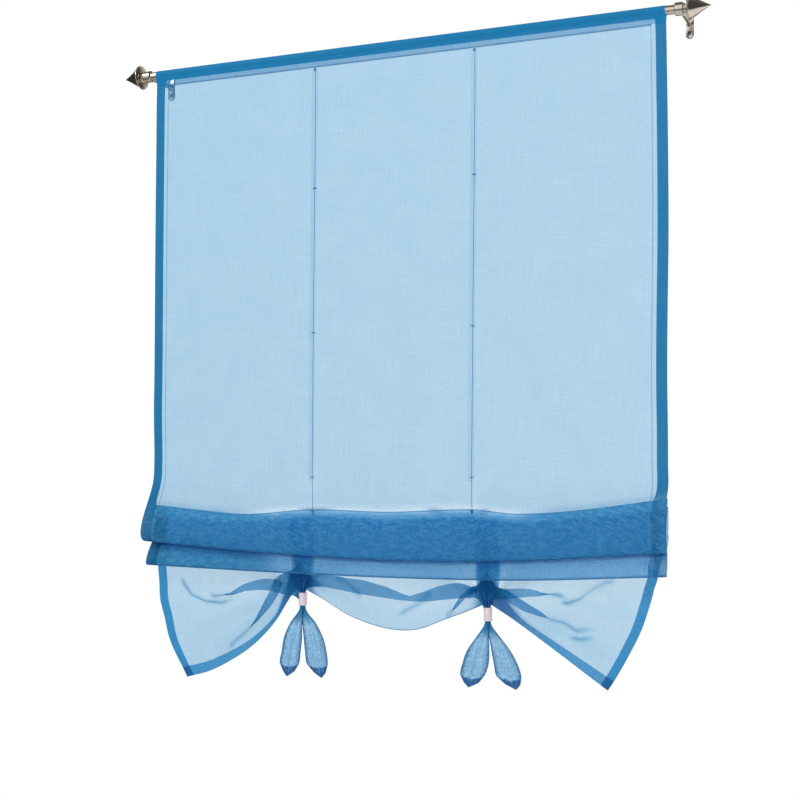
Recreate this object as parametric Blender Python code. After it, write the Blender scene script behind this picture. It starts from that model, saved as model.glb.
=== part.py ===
"""Tie-up voile curtain on its rod: a sheer panel with a rod pocket, drawn up into
two soft folds by cords at the back, with a skirt that two ribbons gather.

Frame: metres, +Z up. X runs along the rod, -Y looks into the room and +Y points
to the wall. The origin is on the rod's axis, midway between the brackets.
Heights on the cloth are given as drops below the curtain's top edge.
"""

import math

import bmesh
import bpy
from mathutils import Matrix, Vector

# Clearances
GAP = 0.0003

# Rod
ROD_RADIUS = 0.008
ROD_WALL = 0.001
ROD_BEYOND_CLOTH = 0.0325

# Cloth: overall sizes, and the thickness that the solid gives the thin voile
CLOTH_HALF_WIDTH = 0.500
CLOTH_THICKNESS = 0.0006
HEM_THICKNESS = 0.0011
HEM_WIDTH = 0.020
HEM_STEP = 0.0015
POCKET_DEPTH = 0.030
SEAM_HEIGHT = 0.0015

# First fold: the panel leans forward from this line, later where the cords hold it
LEAN_LINE = [(-0.5, 0.72), (-0.33, 0.755), (-0.158, 0.802), (0.0, 0.775), (0.158, 0.802),
             (0.33, 0.755), (0.5, 0.72)]
BAND_ONE_FRONT = 0.046
BAND_ONE_RADIUS = 0.012
BAND_ONE_FLARE = 0.008

# Second fold
BAND_TWO_FRONT = 0.030
BAND_TWO_RADIUS = 0.009

# Turned tops of the folded layers, where the cords hold them up
TOP_ONE_RADIUS = 0.0025
TOP_ONE_Y = -0.003
TOP_TWO_RADIUS = 0.004
TOP_TWO_Y = 0.007
TOP_TWO_BELOW = 0.014

# Drops of the folds across the width: (x, drop)
TOP_ONE_LINE = [(-0.5, 0.849), (-0.4, 0.858), (-0.296, 0.865), (-0.158, 0.855), (0.0, 0.858),
                (0.158, 0.852), (0.242, 0.859), (0.36, 0.851), (0.5, 0.831)]
BAND_ONE_LINE = [(-0.5, 0.919), (-0.25, 0.936), (0.0, 0.945), (0.25, 0.940), (0.5, 0.922)]
BAND_TWO_LINE = [(-0.5, 0.966), (-0.25, 0.973), (0.0, 0.977), (0.25, 0.975), (0.5, 0.962)]

# Ties
TIE_LEFT_X = -0.188
TIE_RIGHT_X = 0.180
TIE_LEFT_HEM = 1.003
TIE_RIGHT_HEM = 1.018
TIE_Y = 0.008

# Lower edge of the skirt: (x, drop), in three runs that meet at the ties
HEM_LEFT = [(-0.434, 1.184), (-0.380, 1.168), (-0.327, 1.141), (-0.286, 1.112),
            (-0.245, 1.069), (-0.208, 1.014), (TIE_LEFT_X, TIE_LEFT_HEM)]
HEM_MIDDLE = [(TIE_LEFT_X, TIE_LEFT_HEM), (-0.152, 1.020), (-0.092, 1.052), (-0.020, 1.072),
              (0.040, 1.072), (0.095, 1.052), (0.140, 1.035), (TIE_RIGHT_X, TIE_RIGHT_HEM)]
HEM_RIGHT = [(TIE_RIGHT_X, TIE_RIGHT_HEM), (0.230, 1.048), (0.320, 1.107), (0.401, 1.162)]
SKIRT_TOP = 0.955
SKIRT_Y = 0.010
SKIRT_DRAW_IN = 0.008

# Draped tuck between the ties, and the ripples that run out from each tie
TUCK_DEPTH = 0.019
TUCK_FRONT = 0.004
TUCK_BACK = 0.009
TUCK_START = 0.12
TUCK_END = 0.62
RIPPLE_HEIGHT = 0.007
RIPPLE_REACH = 0.110
RIPPLE_COUNT = 2.5

# Ribbon ties
RIBBON_WIDTH = 0.045
RIBBON_THICKNESS = 0.0008
TAIL_THICKNESS = 0.0026
NECK_HALF_WIDTH = 0.0045
NECK_SPREAD = 0.0018
STRAP_BOW = 0.0095
STRAP_STRAIGHT_LENGTH = 0.050
STRAP_GATHER_LENGTH = 0.030
STRAP_GATHER_THICKNESS = 0.0020
KNOT_START_ABOVE_HEM = 0.020
KNOT_ABOVE_HEM = 0.006
KNOT_BELOW_HEM = 0.002
KNOT_THICKNESS = 0.0036
KNOT_END_HALF_WIDTH = 0.0062
KNOT_END_THICKNESS = 0.0048
TAIL_TIP_DROP = 1.170
BEAD_HEIGHT = 0.024
BEAD_OUTER_RADIUS = 0.008
BEAD_BORE_RADIUS = 0.0064
BEAD_EDGE = 0.0008
BEAD_BELOW_HEM = 0.0085

# Cords, their tapes and the rings that guide them
CORD_X = 0.158
CORD_Y = 0.0048
CORD_RADIUS = 0.0008
TAPE_WIDTH = 0.012
TAPE_THICKNESS = 0.0005
TAPE_END_DROP = 0.802
RING_RADIUS = 0.0030
RING_WIRE_RADIUS = 0.0007
FIRST_RING_DROP = 0.255
RING_SPACING = 0.2700
PANEL_RINGS = 3
CORD_TOP_BELOW_SEAM = 0.006

# Bracket
BRACKET_FROM_ROD_END = 0.009
BRACKET_RING_WIDTH = 0.015
BRACKET_RING_WALL = 0.003
WALL_DISTANCE = 0.085
ARM_RADIUS = 0.005
PLATE_WIDTH = 0.014
PLATE_HEIGHT = 0.054
PLATE_THICKNESS = 0.003
SCREW_SPACING = 0.034
SCREW_SHANK_RADIUS = 0.0017
SCREW_HEAD_RADIUS = 0.0034
SCREW_HEAD_DEPTH = 0.0017
SCREW_SLOT_WIDTH = 0.0008
SCREW_SLOT_DEPTH = 0.0006

# Finial: measured outward from the rod's end
FINIAL_PLUG_LENGTH = 0.015
FINIAL_NECK_RADIUS = 0.0095
FINIAL_NECK_LENGTH = 0.0035
FINIAL_DISC_RADIUS = 0.0230
FINIAL_RIM = 0.0025
FINIAL_CONE_LENGTH = 0.036

# Fineness
OUTER_COLUMNS = 9
MIDDLE_COLUMNS = 15
ROUND_SEGMENTS = 24
SMALL_SEGMENTS = 12

# Sizes that follow from the ones above
TOP_Z = ROD_RADIUS + GAP + CLOTH_THICKNESS
ROD_HALF_LENGTH = CLOTH_HALF_WIDTH + ROD_BEYOND_CLOTH
BRACKET_X = ROD_HALF_LENGTH - BRACKET_FROM_ROD_END

# Tails of the ties: how far down each pair of edges lies, and the edges from the tie's middle
TAIL_SHARES = (0.08, 0.25, 0.45, 0.65, 0.82, 0.93, 1.0)
LEFT_TAIL_FRONT = [(-0.0075, 0.0035), (-0.022, 0.001), (-0.034, 0.001), (-0.038, 0.000),
                   (-0.041, -0.003), (-0.036, -0.012), (-0.030, -0.024)]
LEFT_TAIL_BACK = [(-0.0035, 0.0075), (-0.003, 0.026), (0.001, 0.039), (0.005, 0.045),
                  (0.011, 0.046), (0.022, 0.044), (0.033, 0.039)]
RIGHT_TAIL_FRONT = [(-0.0075, 0.0035), (-0.020, 0.003), (-0.036, 0.004), (-0.044, 0.003),
                    (-0.047, -0.004), (-0.042, -0.014), (-0.034, -0.027)]
RIGHT_TAIL_BACK = [(-0.0035, 0.0075), (0.001, 0.022), (0.006, 0.040), (0.012, 0.052),
                   (0.019, 0.057), (0.031, 0.056), (0.046, 0.053)]


def drop_to_z(drop):
    """Height of a point that lies this far below the curtain's top edge."""
    return TOP_Z - drop


def through(points, x):
    """Smooth curve through (x, value) points, read at x."""
    if x <= points[0][0]:
        return points[0][1]
    if x >= points[-1][0]:
        return points[-1][1]
    last = len(points) - 1
    k = 0
    while points[k + 1][0] < x:
        k += 1

    def slope(n):
        a = points[max(n - 1, 0)]
        b = points[min(n + 1, last)]
        return (b[1] - a[1]) / (b[0] - a[0])

    x0, y0 = points[k]
    x1, y1 = points[k + 1]
    run = x1 - x0
    t = (x - x0) / run
    h00 = 2 * t ** 3 - 3 * t ** 2 + 1
    h10 = t ** 3 - 2 * t ** 2 + t
    h01 = 3 * t ** 2 - 2 * t ** 3
    h11 = t ** 3 - t ** 2
    return h00 * y0 + h10 * run * slope(k) + h01 * y1 + h11 * run * slope(k + 1)


def ease(t):
    """Smooth step from 0 to 1."""
    t = min(max(t, 0.0), 1.0)
    return t * t * (3 - 2 * t)


def mix(a, b, t):
    return a + (b - a) * t


# Materials

def material(name, colour, roughness, metallic=0.0, alpha=1.0):
    made = bpy.data.materials.new(name)
    made.use_nodes = True
    shader = made.node_tree.nodes["Principled BSDF"]
    shader.inputs["Base Color"].default_value = (*colour, 1.0)
    shader.inputs["Roughness"].default_value = roughness
    shader.inputs["Metallic"].default_value = metallic
    shader.inputs["Alpha"].default_value = alpha
    made.diffuse_color = (*colour, 1.0)
    return made


# Mesh helpers

def add_object(name, bm, made_of, smooth_angle=None):
    """Turn a bmesh into a named object with one material."""
    bmesh.ops.recalc_face_normals(bm, faces=bm.faces)
    mesh = bpy.data.meshes.new(name)
    bm.to_mesh(mesh)
    bm.free()
    mesh.materials.append(made_of)
    if smooth_angle is not None:
        mesh.shade_smooth()
        mesh.set_sharp_from_angle(angle=math.radians(smooth_angle))
    made = bpy.data.objects.new(name, mesh)
    bpy.context.scene.collection.objects.link(made)
    return made


def turned(profile, segments, closed):
    """Spin an (along, radius) profile about the X axis."""
    bm = bmesh.new()
    verts = [bm.verts.new((along, 0.0, radius)) for along, radius in profile]
    edges = [bm.edges.new(pair) for pair in zip(verts, verts[1:])]
    if closed:
        edges.append(bm.edges.new((verts[-1], verts[0])))
    bmesh.ops.spin(bm, geom=verts + edges, cent=(0, 0, 0), axis=(1, 0, 0),
                   angle=math.tau, steps=segments)
    bmesh.ops.remove_doubles(bm, verts=bm.verts, dist=1e-6)
    return bm


def cut(target, cutter):
    """Subtract a cutter object from a target, as a modifier that stays live."""
    cutter.hide_render = True
    cutter.display_type = "WIRE"
    step = target.modifiers.new("cut_" + cutter.name, "BOOLEAN")
    step.operation = "DIFFERENCE"
    step.solver = "EXACT"
    step.object = cutter


def union(target, other):
    """Join another closed shape to a target, as a modifier that stays live."""
    other.hide_render = True
    other.display_type = "WIRE"
    step = target.modifiers.new("join_" + other.name, "BOOLEAN")
    step.operation = "UNION"
    step.solver = "EXACT"
    step.object = other


def loft(sections):
    """Skin a list of equal rings of points and close both ends."""
    bm = bmesh.new()
    rings = [[bm.verts.new(point) for point in ring] for ring in sections]
    count = len(rings[0])
    for low, high in zip(rings, rings[1:]):
        for k in range(count):
            n = (k + 1) % count
            bm.faces.new((low[k], low[n], high[n], high[k]))
    bm.faces.new(rings[0])
    bm.faces.new(rings[-1])
    return bm


# Cloth

def pocket_rows():
    """Rows (y, z) of the pocket, from the seam behind the rod to the seam in front."""
    radius = ROD_RADIUS + GAP + CLOTH_THICKNESS / 2
    seam_z = drop_to_z(POCKET_DEPTH)
    leave = math.acos(radius / -seam_z)
    rows = []
    arc_steps = 8
    back = (radius * math.sin(leave), -radius * math.cos(leave))
    rows.append((mix(0.0, back[0], 0.25), mix(seam_z, back[1], 0.25)))
    for k in range(arc_steps + 1):
        turn = leave + (math.tau - 2 * leave) * k / arc_steps
        rows.append((radius * math.sin(turn), -radius * math.cos(turn)))
    rows.append((mix(-back[0], 0.0, 0.6), mix(back[1], seam_z, 0.6)))
    rows.append((0.0, seam_z))
    return rows


def bend(y, drop, radius, start, end, steps):
    """Points round a turned edge; angles run from +Y round through the bottom."""
    points = []
    for k in range(steps + 1):
        turn = math.radians(mix(start, end, k / steps))
        points.append((y + radius * math.cos(turn), drop + radius * math.sin(turn)))
    return points


def fold_rows(x):
    """Rows (y, drop) of the two folds at x, from the panel to the skirt's top."""
    top_one = through(TOP_ONE_LINE, x)
    low_one = through(BAND_ONE_LINE, x)
    low_two = through(BAND_TWO_LINE, x)
    top_two = top_one + TOP_TWO_BELOW
    one_drop = low_one - BAND_ONE_RADIUS
    two_drop = low_two - BAND_TWO_RADIUS
    one_y = -BAND_ONE_FRONT + BAND_ONE_RADIUS
    two_y = -BAND_TWO_FRONT + BAND_TWO_RADIUS
    lean = through(LEAN_LINE, x)
    rows = []
    for step in (0.18, 0.36, 0.52, 0.68, 0.84):
        rows.append((-BAND_ONE_FRONT * ease(step), mix(lean, one_drop, step)))
    rows += bend(one_y, one_drop, BAND_ONE_RADIUS, 180, 0, 5)
    up_y = one_y + BAND_ONE_RADIUS
    leg_y = TOP_ONE_Y - TOP_ONE_RADIUS
    leg_drop = top_one + TOP_ONE_RADIUS
    rows.append((mix(up_y, leg_y, 0.5), mix(one_drop, leg_drop, 0.5)))
    rows += bend(TOP_ONE_Y, leg_drop, TOP_ONE_RADIUS, 180, 360, 4)
    down_y = TOP_ONE_Y + TOP_ONE_RADIUS
    rows.append((down_y - 0.0035, mix(leg_drop, one_drop, 0.7)))
    rows.append((down_y - 0.0085, one_drop + 0.004))
    rows.append((-0.0205, low_one + 0.0075))
    rows += bend(two_y, two_drop, BAND_TWO_RADIUS, 180, 0, 4)
    rise_y = two_y + BAND_TWO_RADIUS
    inner_y = TOP_TWO_Y - TOP_TWO_RADIUS
    inner_drop = top_two + TOP_TWO_RADIUS
    rows.append((mix(rise_y, inner_y, 0.55), mix(two_drop, inner_drop, 0.40)))
    rows.append((mix(rise_y, inner_y, 0.88), mix(two_drop, inner_drop, 0.75)))
    rows += bend(TOP_TWO_Y, inner_drop, TOP_TWO_RADIUS, 180, 360, 4)
    return rows


def hem_point(x):
    """Where the column of cloth that starts at x ends on the skirt's lower edge."""
    if x <= TIE_LEFT_X:
        share = (x + CLOTH_HALF_WIDTH) / (TIE_LEFT_X + CLOTH_HALF_WIDTH)
        hem = HEM_LEFT
    elif x >= TIE_RIGHT_X:
        share = (x - TIE_RIGHT_X) / (CLOTH_HALF_WIDTH - TIE_RIGHT_X)
        hem = HEM_RIGHT
    else:
        share = (x - TIE_LEFT_X) / (TIE_RIGHT_X - TIE_LEFT_X)
        hem = HEM_MIDDLE
    at = mix(hem[0][0], hem[-1][0], share)
    return at, through(hem, at)


def tie_nearness(x, reach):
    """1 at either tie, falling away over the given reach."""
    away = min(abs(x - TIE_LEFT_X), abs(x - TIE_RIGHT_X))
    return math.exp(-(away / reach) ** 2)


def skirt_point(x, share):
    """Point (x, y, drop) of the skirt, a share of the way down a column."""
    hem_x, hem_drop = hem_point(x)
    start_x = x - SKIRT_DRAW_IN * max(x, 0.0) / CLOTH_HALF_WIDTH
    at_x = start_x + (hem_x - start_x) * share ** 1.8
    drop = mix(SKIRT_TOP, hem_drop, share)
    y = SKIRT_Y + (TIE_Y - SKIRT_Y) * tie_nearness(x, 0.05) * share
    middle = (TIE_LEFT_X + TIE_RIGHT_X) / 2
    half_span = (TIE_RIGHT_X - TIE_LEFT_X) / 2
    inside = 1.0 - abs(x - middle) / half_span
    if inside > 0.0:
        t = min(max((share - TUCK_START) / (TUCK_END - TUCK_START), 0.0), 1.0)
        drop += TUCK_DEPTH * ease((inside - 0.08) / 0.65) * math.sin(math.tau * t)
        layer = t - 0.15 * math.sin(2 * math.tau * t) / (2 * math.tau)
        y += mix(-TUCK_FRONT, TUCK_BACK, layer) * ease(inside / 0.22)
    away = min(abs(x - TIE_LEFT_X), abs(x - TIE_RIGHT_X))
    swell = (away / 0.03) * math.exp(-away / RIPPLE_REACH) if inside <= 0.0 else 0.0
    envelope = math.sin(math.pi * share ** 0.8)
    y += RIPPLE_HEIGHT * min(swell, 1.0) * envelope * math.sin(math.tau * RIPPLE_COUNT * share)
    return at_x, y, drop


def skirt_shares():
    """How far down the skirt its rows lie; the last ones bound the hem."""
    rows = [0.0, 0.07]
    tuck_rows = (0.0, 0.1, 0.2, 0.3, 0.4, 0.6, 0.7, 0.8, 0.9, 1.0)
    rows += [mix(TUCK_START, TUCK_END, t) for t in tuck_rows]
    rows += [0.70, 0.79, 0.885, 0.90, 1.0]
    return rows


def column_positions():
    """Where the cloth's columns lie, closer together near the ties and hems."""
    inner_hem = CLOTH_HALF_WIDTH - HEM_WIDTH
    left = [-CLOTH_HALF_WIDTH, -inner_hem, -inner_hem + HEM_STEP]
    for k in range(1, OUTER_COLUMNS):
        left.append(mix(-inner_hem, TIE_LEFT_X, 1 - (1 - k / OUTER_COLUMNS) ** 1.3))
    middle = [mix(TIE_LEFT_X, TIE_RIGHT_X, k / MIDDLE_COLUMNS) for k in range(MIDDLE_COLUMNS + 1)]
    right = []
    for k in range(1, OUTER_COLUMNS):
        right.append(mix(TIE_RIGHT_X, inner_hem, (k / OUTER_COLUMNS) ** 1.3))
    right += [inner_hem - HEM_STEP, inner_hem, CLOTH_HALF_WIDTH]
    return left + middle + right


def cloth_column(x):
    """All mid-surface points of one column, and the row where the seam lies."""
    points = [Vector((x, y, z)) for y, z in pocket_rows()]
    seam_row = len(points) - 1
    first = POCKET_DEPTH + SEAM_HEIGHT
    for part in (0.0, 0.2, 0.5, 0.8, 1.0):
        points.append(Vector((x, 0.0, drop_to_z(mix(first, through(LEAN_LINE, x), part)))))
    for y, drop in fold_rows(x):
        forward = min(max(-y / BAND_ONE_FRONT, 0.0), 1.0)
        flare = BAND_ONE_FLARE * forward ** 1.5
        spread = x * (1 + flare / CLOTH_HALF_WIDTH)
        points.append(Vector((spread, y, drop_to_z(drop))))
    for share in skirt_shares():
        at_x, y, drop = skirt_point(x, share)
        points.append(Vector((at_x, y, drop_to_z(drop))))
    return points, seam_row


def cloth_thickness(x, row, rows):
    """Hems are thicker than the single voile."""
    in_side_hem = abs(x) >= CLOTH_HALF_WIDTH - HEM_WIDTH - 1e-6
    in_lower_hem = row >= rows - 2
    if in_side_hem or in_lower_hem:
        return HEM_THICKNESS
    return CLOTH_THICKNESS


def build_cloth(made_of):
    """One sheet, turned over into the pocket and sewn to itself at the seam."""
    positions = column_positions()
    columns = []
    for x in positions:
        points, seam = cloth_column(x)
        columns.append(points)
    rows = len(columns[0])
    last = len(columns) - 1
    bm = bmesh.new()
    outer = []
    inner = []
    for i, x in enumerate(positions):
        outer_line = []
        inner_line = []
        for j in range(rows):
            across = columns[min(i + 1, last)][j] - columns[max(i - 1, 0)][j]
            before = columns[i][j] - columns[i][max(j - 1, 0)]
            after = columns[i][min(j + 1, rows - 1)] - columns[i][j]
            along = before.normalized() + after.normalized()
            normal = along.cross(across).normalized()
            half = (cloth_thickness(x, j, rows) if j > seam else CLOTH_THICKNESS) / 2
            outer_line.append(bm.verts.new(columns[i][j] + normal * half))
            inner_line.append(bm.verts.new(columns[i][j] - normal * half))
        outer.append(outer_line)
        inner.append(inner_line)
    for i in range(last):
        for j in range(rows - 1):
            bm.faces.new((outer[i][j], outer[i + 1][j], outer[i + 1][j + 1], outer[i][j + 1]))
            if j != seam:
                bm.faces.new((inner[i][j], inner[i][j + 1], inner[i + 1][j + 1], inner[i + 1][j]))
        bm.faces.new((outer[i][0], inner[i][seam + 1], inner[i + 1][seam + 1], outer[i + 1][0]))
        bm.faces.new((inner[i][0], inner[i + 1][0], inner[i + 1][seam], inner[i][seam]))
        bm.faces.new((outer[i][-1], outer[i + 1][-1], inner[i + 1][-1], inner[i][-1]))
    for i in (0, last):
        for j in range(rows - 1):
            bm.faces.new((outer[i][j], outer[i][j + 1], inner[i][j + 1], inner[i][j]))
        bm.faces.new((outer[i][0], inner[i][0], inner[i][seam], inner[i][seam + 1]))
    return add_object("curtain_cloth", bm, made_of, 60)


# Ribbon ties

def flat_ring(x, y, drop, half_width, half_thickness):
    """Ring of a ribbon's section: a flat oval with thin edges."""
    ring = []
    for k in range(SMALL_SEGMENTS):
        turn = math.tau * k / SMALL_SEGMENTS
        wide = math.cos(turn)
        ring.append(Vector((x + half_width * wide, y + half_thickness * math.sin(turn),
                            drop_to_z(drop))))
    return ring


def neck_half_thickness():
    """Half of one ribbon end, squeezed so that the two fill the bead's bore."""
    return BEAD_BORE_RADIUS * math.cos(math.pi / ROUND_SEGMENTS) - GAP - NECK_SPREAD


def strap_top_drop(tie_x):
    """Just under the turned top of the second fold, where the strap is sewn in."""
    edges = (tie_x - RIBBON_WIDTH / 2, tie_x + RIBBON_WIDTH / 2)
    lowest = max(through(TOP_ONE_LINE, x) for x in edges)
    return lowest + TOP_TWO_BELOW + CLOTH_THICKNESS / 2 + GAP


def ribbon_sections(tie_x, hem_drop, bead_drop, side, tail):
    """Sections of one ribbon end: strap, neck in the bead, then its tail.

    side is -1 for the strap in front of the skirt and +1 for the one behind it.
    tail lists the left and right edge at each of TAIL_SHARES.
    """
    half = RIBBON_WIDTH / 2
    thin = RIBBON_THICKNESS / 2
    behind = TOP_TWO_Y + TOP_TWO_RADIUS + CLOTH_THICKNESS / 2 + GAP + thin
    strap_y = TOP_TWO_Y if side < 0 else behind
    bow_y = TIE_Y + side * STRAP_BOW
    neck_y = TIE_Y + side * NECK_SPREAD
    neck_end = bead_drop + BEAD_HEIGHT
    strap_top = strap_top_drop(tie_x)
    straight_end = strap_top + STRAP_STRAIGHT_LENGTH
    gather_end = straight_end + STRAP_GATHER_LENGTH
    neck_thick = neck_half_thickness()
    rings = [flat_ring(tie_x, strap_y, strap_top, half, thin),
             flat_ring(tie_x, strap_y, straight_end, half, thin),
             flat_ring(tie_x, mix(strap_y, bow_y, 0.4), gather_end, half * 0.96, thin),
             flat_ring(tie_x, bow_y, hem_drop - KNOT_START_ABOVE_HEM, half * 0.70,
                       STRAP_GATHER_THICKNESS / 2),
             flat_ring(tie_x, mix(bow_y, neck_y, 0.25), hem_drop - KNOT_ABOVE_HEM, half * 0.42,
                       KNOT_THICKNESS / 2),
             flat_ring(tie_x, mix(bow_y, neck_y, 0.62), hem_drop + KNOT_BELOW_HEM,
                       KNOT_END_HALF_WIDTH, KNOT_END_THICKNESS / 2),
             flat_ring(tie_x, neck_y, bead_drop, NECK_HALF_WIDTH, neck_thick),
             flat_ring(tie_x, neck_y, neck_end, NECK_HALF_WIDTH, neck_thick)]
    for share, (left_edge, right_edge) in zip(TAIL_SHARES, tail):
        drop = mix(neck_end, TAIL_TIP_DROP, share)
        middle = tie_x + (left_edge + right_edge) / 2
        wide = (right_edge - left_edge) / 2
        thick = mix(neck_thick, TAIL_THICKNESS / 2, ease(share / 0.35))
        thick = mix(thick, RIBBON_THICKNESS, ease((share - 0.8) / 0.2))
        y = TIE_Y + side * mix(NECK_SPREAD, TAIL_THICKNESS * 0.95, ease(share / 0.3))
        rings.append(flat_ring(middle, y, drop, wide, thick))
    return rings


def build_ribbon(name, tie_x, hem_drop, bead_drop, tails, made_of):
    """Two ribbon ends that run through one bead, each with a pointed tail."""
    front = loft(ribbon_sections(tie_x, hem_drop, bead_drop, -1, tails[0]))
    ribbon = add_object(name, front, made_of, 60)
    back = loft(ribbon_sections(tie_x, hem_drop, bead_drop, 1, tails[1]))
    union(ribbon, add_object(name + "_back_end", back, made_of))
    return ribbon


def build_bead(name, tie_x, bead_drop, made_of):
    """Short sleeve with rounded edges that holds both ribbon ends."""
    low = drop_to_z(bead_drop + BEAD_HEIGHT)
    high = low + BEAD_HEIGHT
    profile = [(low, BEAD_BORE_RADIUS), (low, BEAD_OUTER_RADIUS - BEAD_EDGE),
               (low + BEAD_EDGE, BEAD_OUTER_RADIUS), (high - BEAD_EDGE, BEAD_OUTER_RADIUS),
               (high, BEAD_OUTER_RADIUS - BEAD_EDGE), (high, BEAD_BORE_RADIUS)]
    bm = turned(profile, ROUND_SEGMENTS, closed=True)
    bmesh.ops.rotate(bm, verts=bm.verts, matrix=Matrix.Rotation(-math.pi / 2, 3, "Y"))
    bmesh.ops.translate(bm, verts=bm.verts, vec=(tie_x, TIE_Y, 0))
    return add_object(name, bm, made_of, 30)


# Cords, tapes and rings

def build_tape(name, x, made_of):
    """Narrow tape behind the panel that carries the guide rings."""
    bm = bmesh.new()
    bmesh.ops.create_cube(bm, size=1.0)
    top = drop_to_z(POCKET_DEPTH + 2 * SEAM_HEIGHT)
    low = drop_to_z(TAPE_END_DROP)
    near = CLOTH_THICKNESS / 2 + GAP
    bmesh.ops.scale(bm, verts=bm.verts, vec=(TAPE_WIDTH, TAPE_THICKNESS, top - low))
    centre = (x, near + TAPE_THICKNESS / 2, (top + low) / 2)
    bmesh.ops.translate(bm, verts=bm.verts, vec=centre)
    return add_object(name, bm, made_of)


def build_ring(name, centre, normal_axis, made_of):
    """Small wire ring; the axis names the way that its hole faces."""
    count = 6
    profile = []
    for k in range(count):
        turn = math.tau * k / count
        profile.append((RING_WIRE_RADIUS * math.sin(turn),
                        RING_RADIUS + RING_WIRE_RADIUS * math.cos(turn)))
    bm = turned(profile, SMALL_SEGMENTS, closed=True)
    if normal_axis == "Z":
        bmesh.ops.rotate(bm, verts=bm.verts, matrix=Matrix.Rotation(math.pi / 2, 3, "Y"))
    ring = add_object(name, bm, made_of, 60)
    ring.location = centre
    return ring


def build_cord(name, x, end_z, made_of):
    """Lift cord from just under the pocket seam down to the lowest ring."""
    top = drop_to_z(POCKET_DEPTH + CORD_TOP_BELOW_SEAM)
    near = CLOTH_THICKNESS / 2 + TAPE_THICKNESS + 2 * GAP + CORD_RADIUS
    route = [(near, top), (near, top - 0.010), (mix(near, CORD_Y, 0.5), top - 0.040),
             (CORD_Y, top - 0.080)]
    straight = 6
    for k in range(1, straight + 1):
        route.append((CORD_Y, mix(top - 0.080, end_z, k / straight)))
    curve = bpy.data.curves.new(name, "CURVE")
    curve.dimensions = "3D"
    curve.bevel_depth = CORD_RADIUS
    curve.bevel_resolution = 2
    curve.use_fill_caps = True
    line = curve.splines.new("POLY")
    line.points.add(len(route) - 1)
    for point, (y, z) in zip(line.points, route):
        point.co = (x, y, z, 1.0)
    curve.materials.append(made_of)
    cord = bpy.data.objects.new(name, curve)
    bpy.context.scene.collection.objects.link(cord)
    return cord


def build_lift_gear(side, sign, materials):
    """Tape, guide rings and cord at one side."""
    x = sign * CORD_X
    build_tape("cord_tape_" + side, x, materials["tape"])
    reach = RING_RADIUS + RING_WIRE_RADIUS + GAP
    on_tape = CLOTH_THICKNESS / 2 + GAP + TAPE_THICKNESS + reach
    for k in range(PANEL_RINGS):
        place = (x, on_tape, drop_to_z(FIRST_RING_DROP + k * RING_SPACING))
        build_ring("guide_ring_%s_%d" % (side, k + 1), place, "Z", materials["ring"])
    top_one = through(TOP_ONE_LINE, x)
    behind = TOP_ONE_Y + TOP_ONE_RADIUS + CLOTH_THICKNESS / 2 + reach
    place = (x, behind, drop_to_z(top_one + TOP_ONE_RADIUS))
    build_ring("guide_ring_%s_%d" % (side, PANEL_RINGS + 1), place, "Z", materials["ring"])
    fold_top = drop_to_z(top_one + TOP_TWO_BELOW) + CLOTH_THICKNESS / 2
    place = (x, TOP_TWO_Y, fold_top + reach)
    build_ring("end_ring_" + side, place, "X", materials["ring"])
    end_z = fold_top + 2 * reach + CORD_RADIUS
    build_cord("lift_cord_" + side, x, end_z, materials["cord"])


# Rod, finials and brackets

def build_rod(made_of):
    """Thin tube from finial to finial."""
    bore = ROD_RADIUS - ROD_WALL
    profile = [(-ROD_HALF_LENGTH, bore), (-ROD_HALF_LENGTH, ROD_RADIUS),
               (ROD_HALF_LENGTH, ROD_RADIUS), (ROD_HALF_LENGTH, bore)]
    return add_object("curtain_rod", turned(profile, ROUND_SEGMENTS, closed=True), made_of, 30)


def build_finial(name, sign, made_of):
    """Turned cone on a disc, with a plug that sits in the rod's end."""
    plug = ROD_RADIUS - ROD_WALL - GAP
    disc = GAP + FINIAL_NECK_LENGTH
    cone = disc + 2 * FINIAL_RIM
    tip = cone + FINIAL_CONE_LENGTH
    profile = [(-FINIAL_PLUG_LENGTH, 0.0), (-FINIAL_PLUG_LENGTH, plug), (GAP, plug),
               (GAP, FINIAL_NECK_RADIUS), (disc, FINIAL_NECK_RADIUS),
               (disc + FINIAL_RIM * 0.4, FINIAL_DISC_RADIUS * 0.86),
               (disc + FINIAL_RIM, FINIAL_DISC_RADIUS),
               (disc + 1.6 * FINIAL_RIM, FINIAL_DISC_RADIUS),
               (cone, FINIAL_DISC_RADIUS * 0.90)]
    steps = 6
    for k in range(1, steps):
        t = k / steps
        profile.append((mix(cone, tip, t), FINIAL_DISC_RADIUS * 0.90 * (1 - t) ** 1.15))
    profile.append((tip, 0.0))
    bm = turned([(along + ROD_HALF_LENGTH, radius) for along, radius in profile],
                ROUND_SEGMENTS, closed=False)
    if sign < 0:
        bmesh.ops.rotate(bm, verts=bm.verts, matrix=Matrix.Rotation(math.pi, 3, "Z"))
    return add_object(name, bm, made_of, 35)


def cylinder(name, radius, depth, centre, axis, made_of, segments):
    """Plain cylinder along one axis."""
    turn = {"X": Matrix.Rotation(math.pi / 2, 4, "Y"),
            "Y": Matrix.Rotation(math.pi / 2, 4, "X")}[axis]
    bm = bmesh.new()
    bmesh.ops.create_cone(bm, cap_ends=True, segments=segments, radius1=radius,
                          radius2=radius, depth=depth,
                          matrix=Matrix.Translation(centre) @ turn)
    return add_object(name, bm, made_of, 30)


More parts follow.
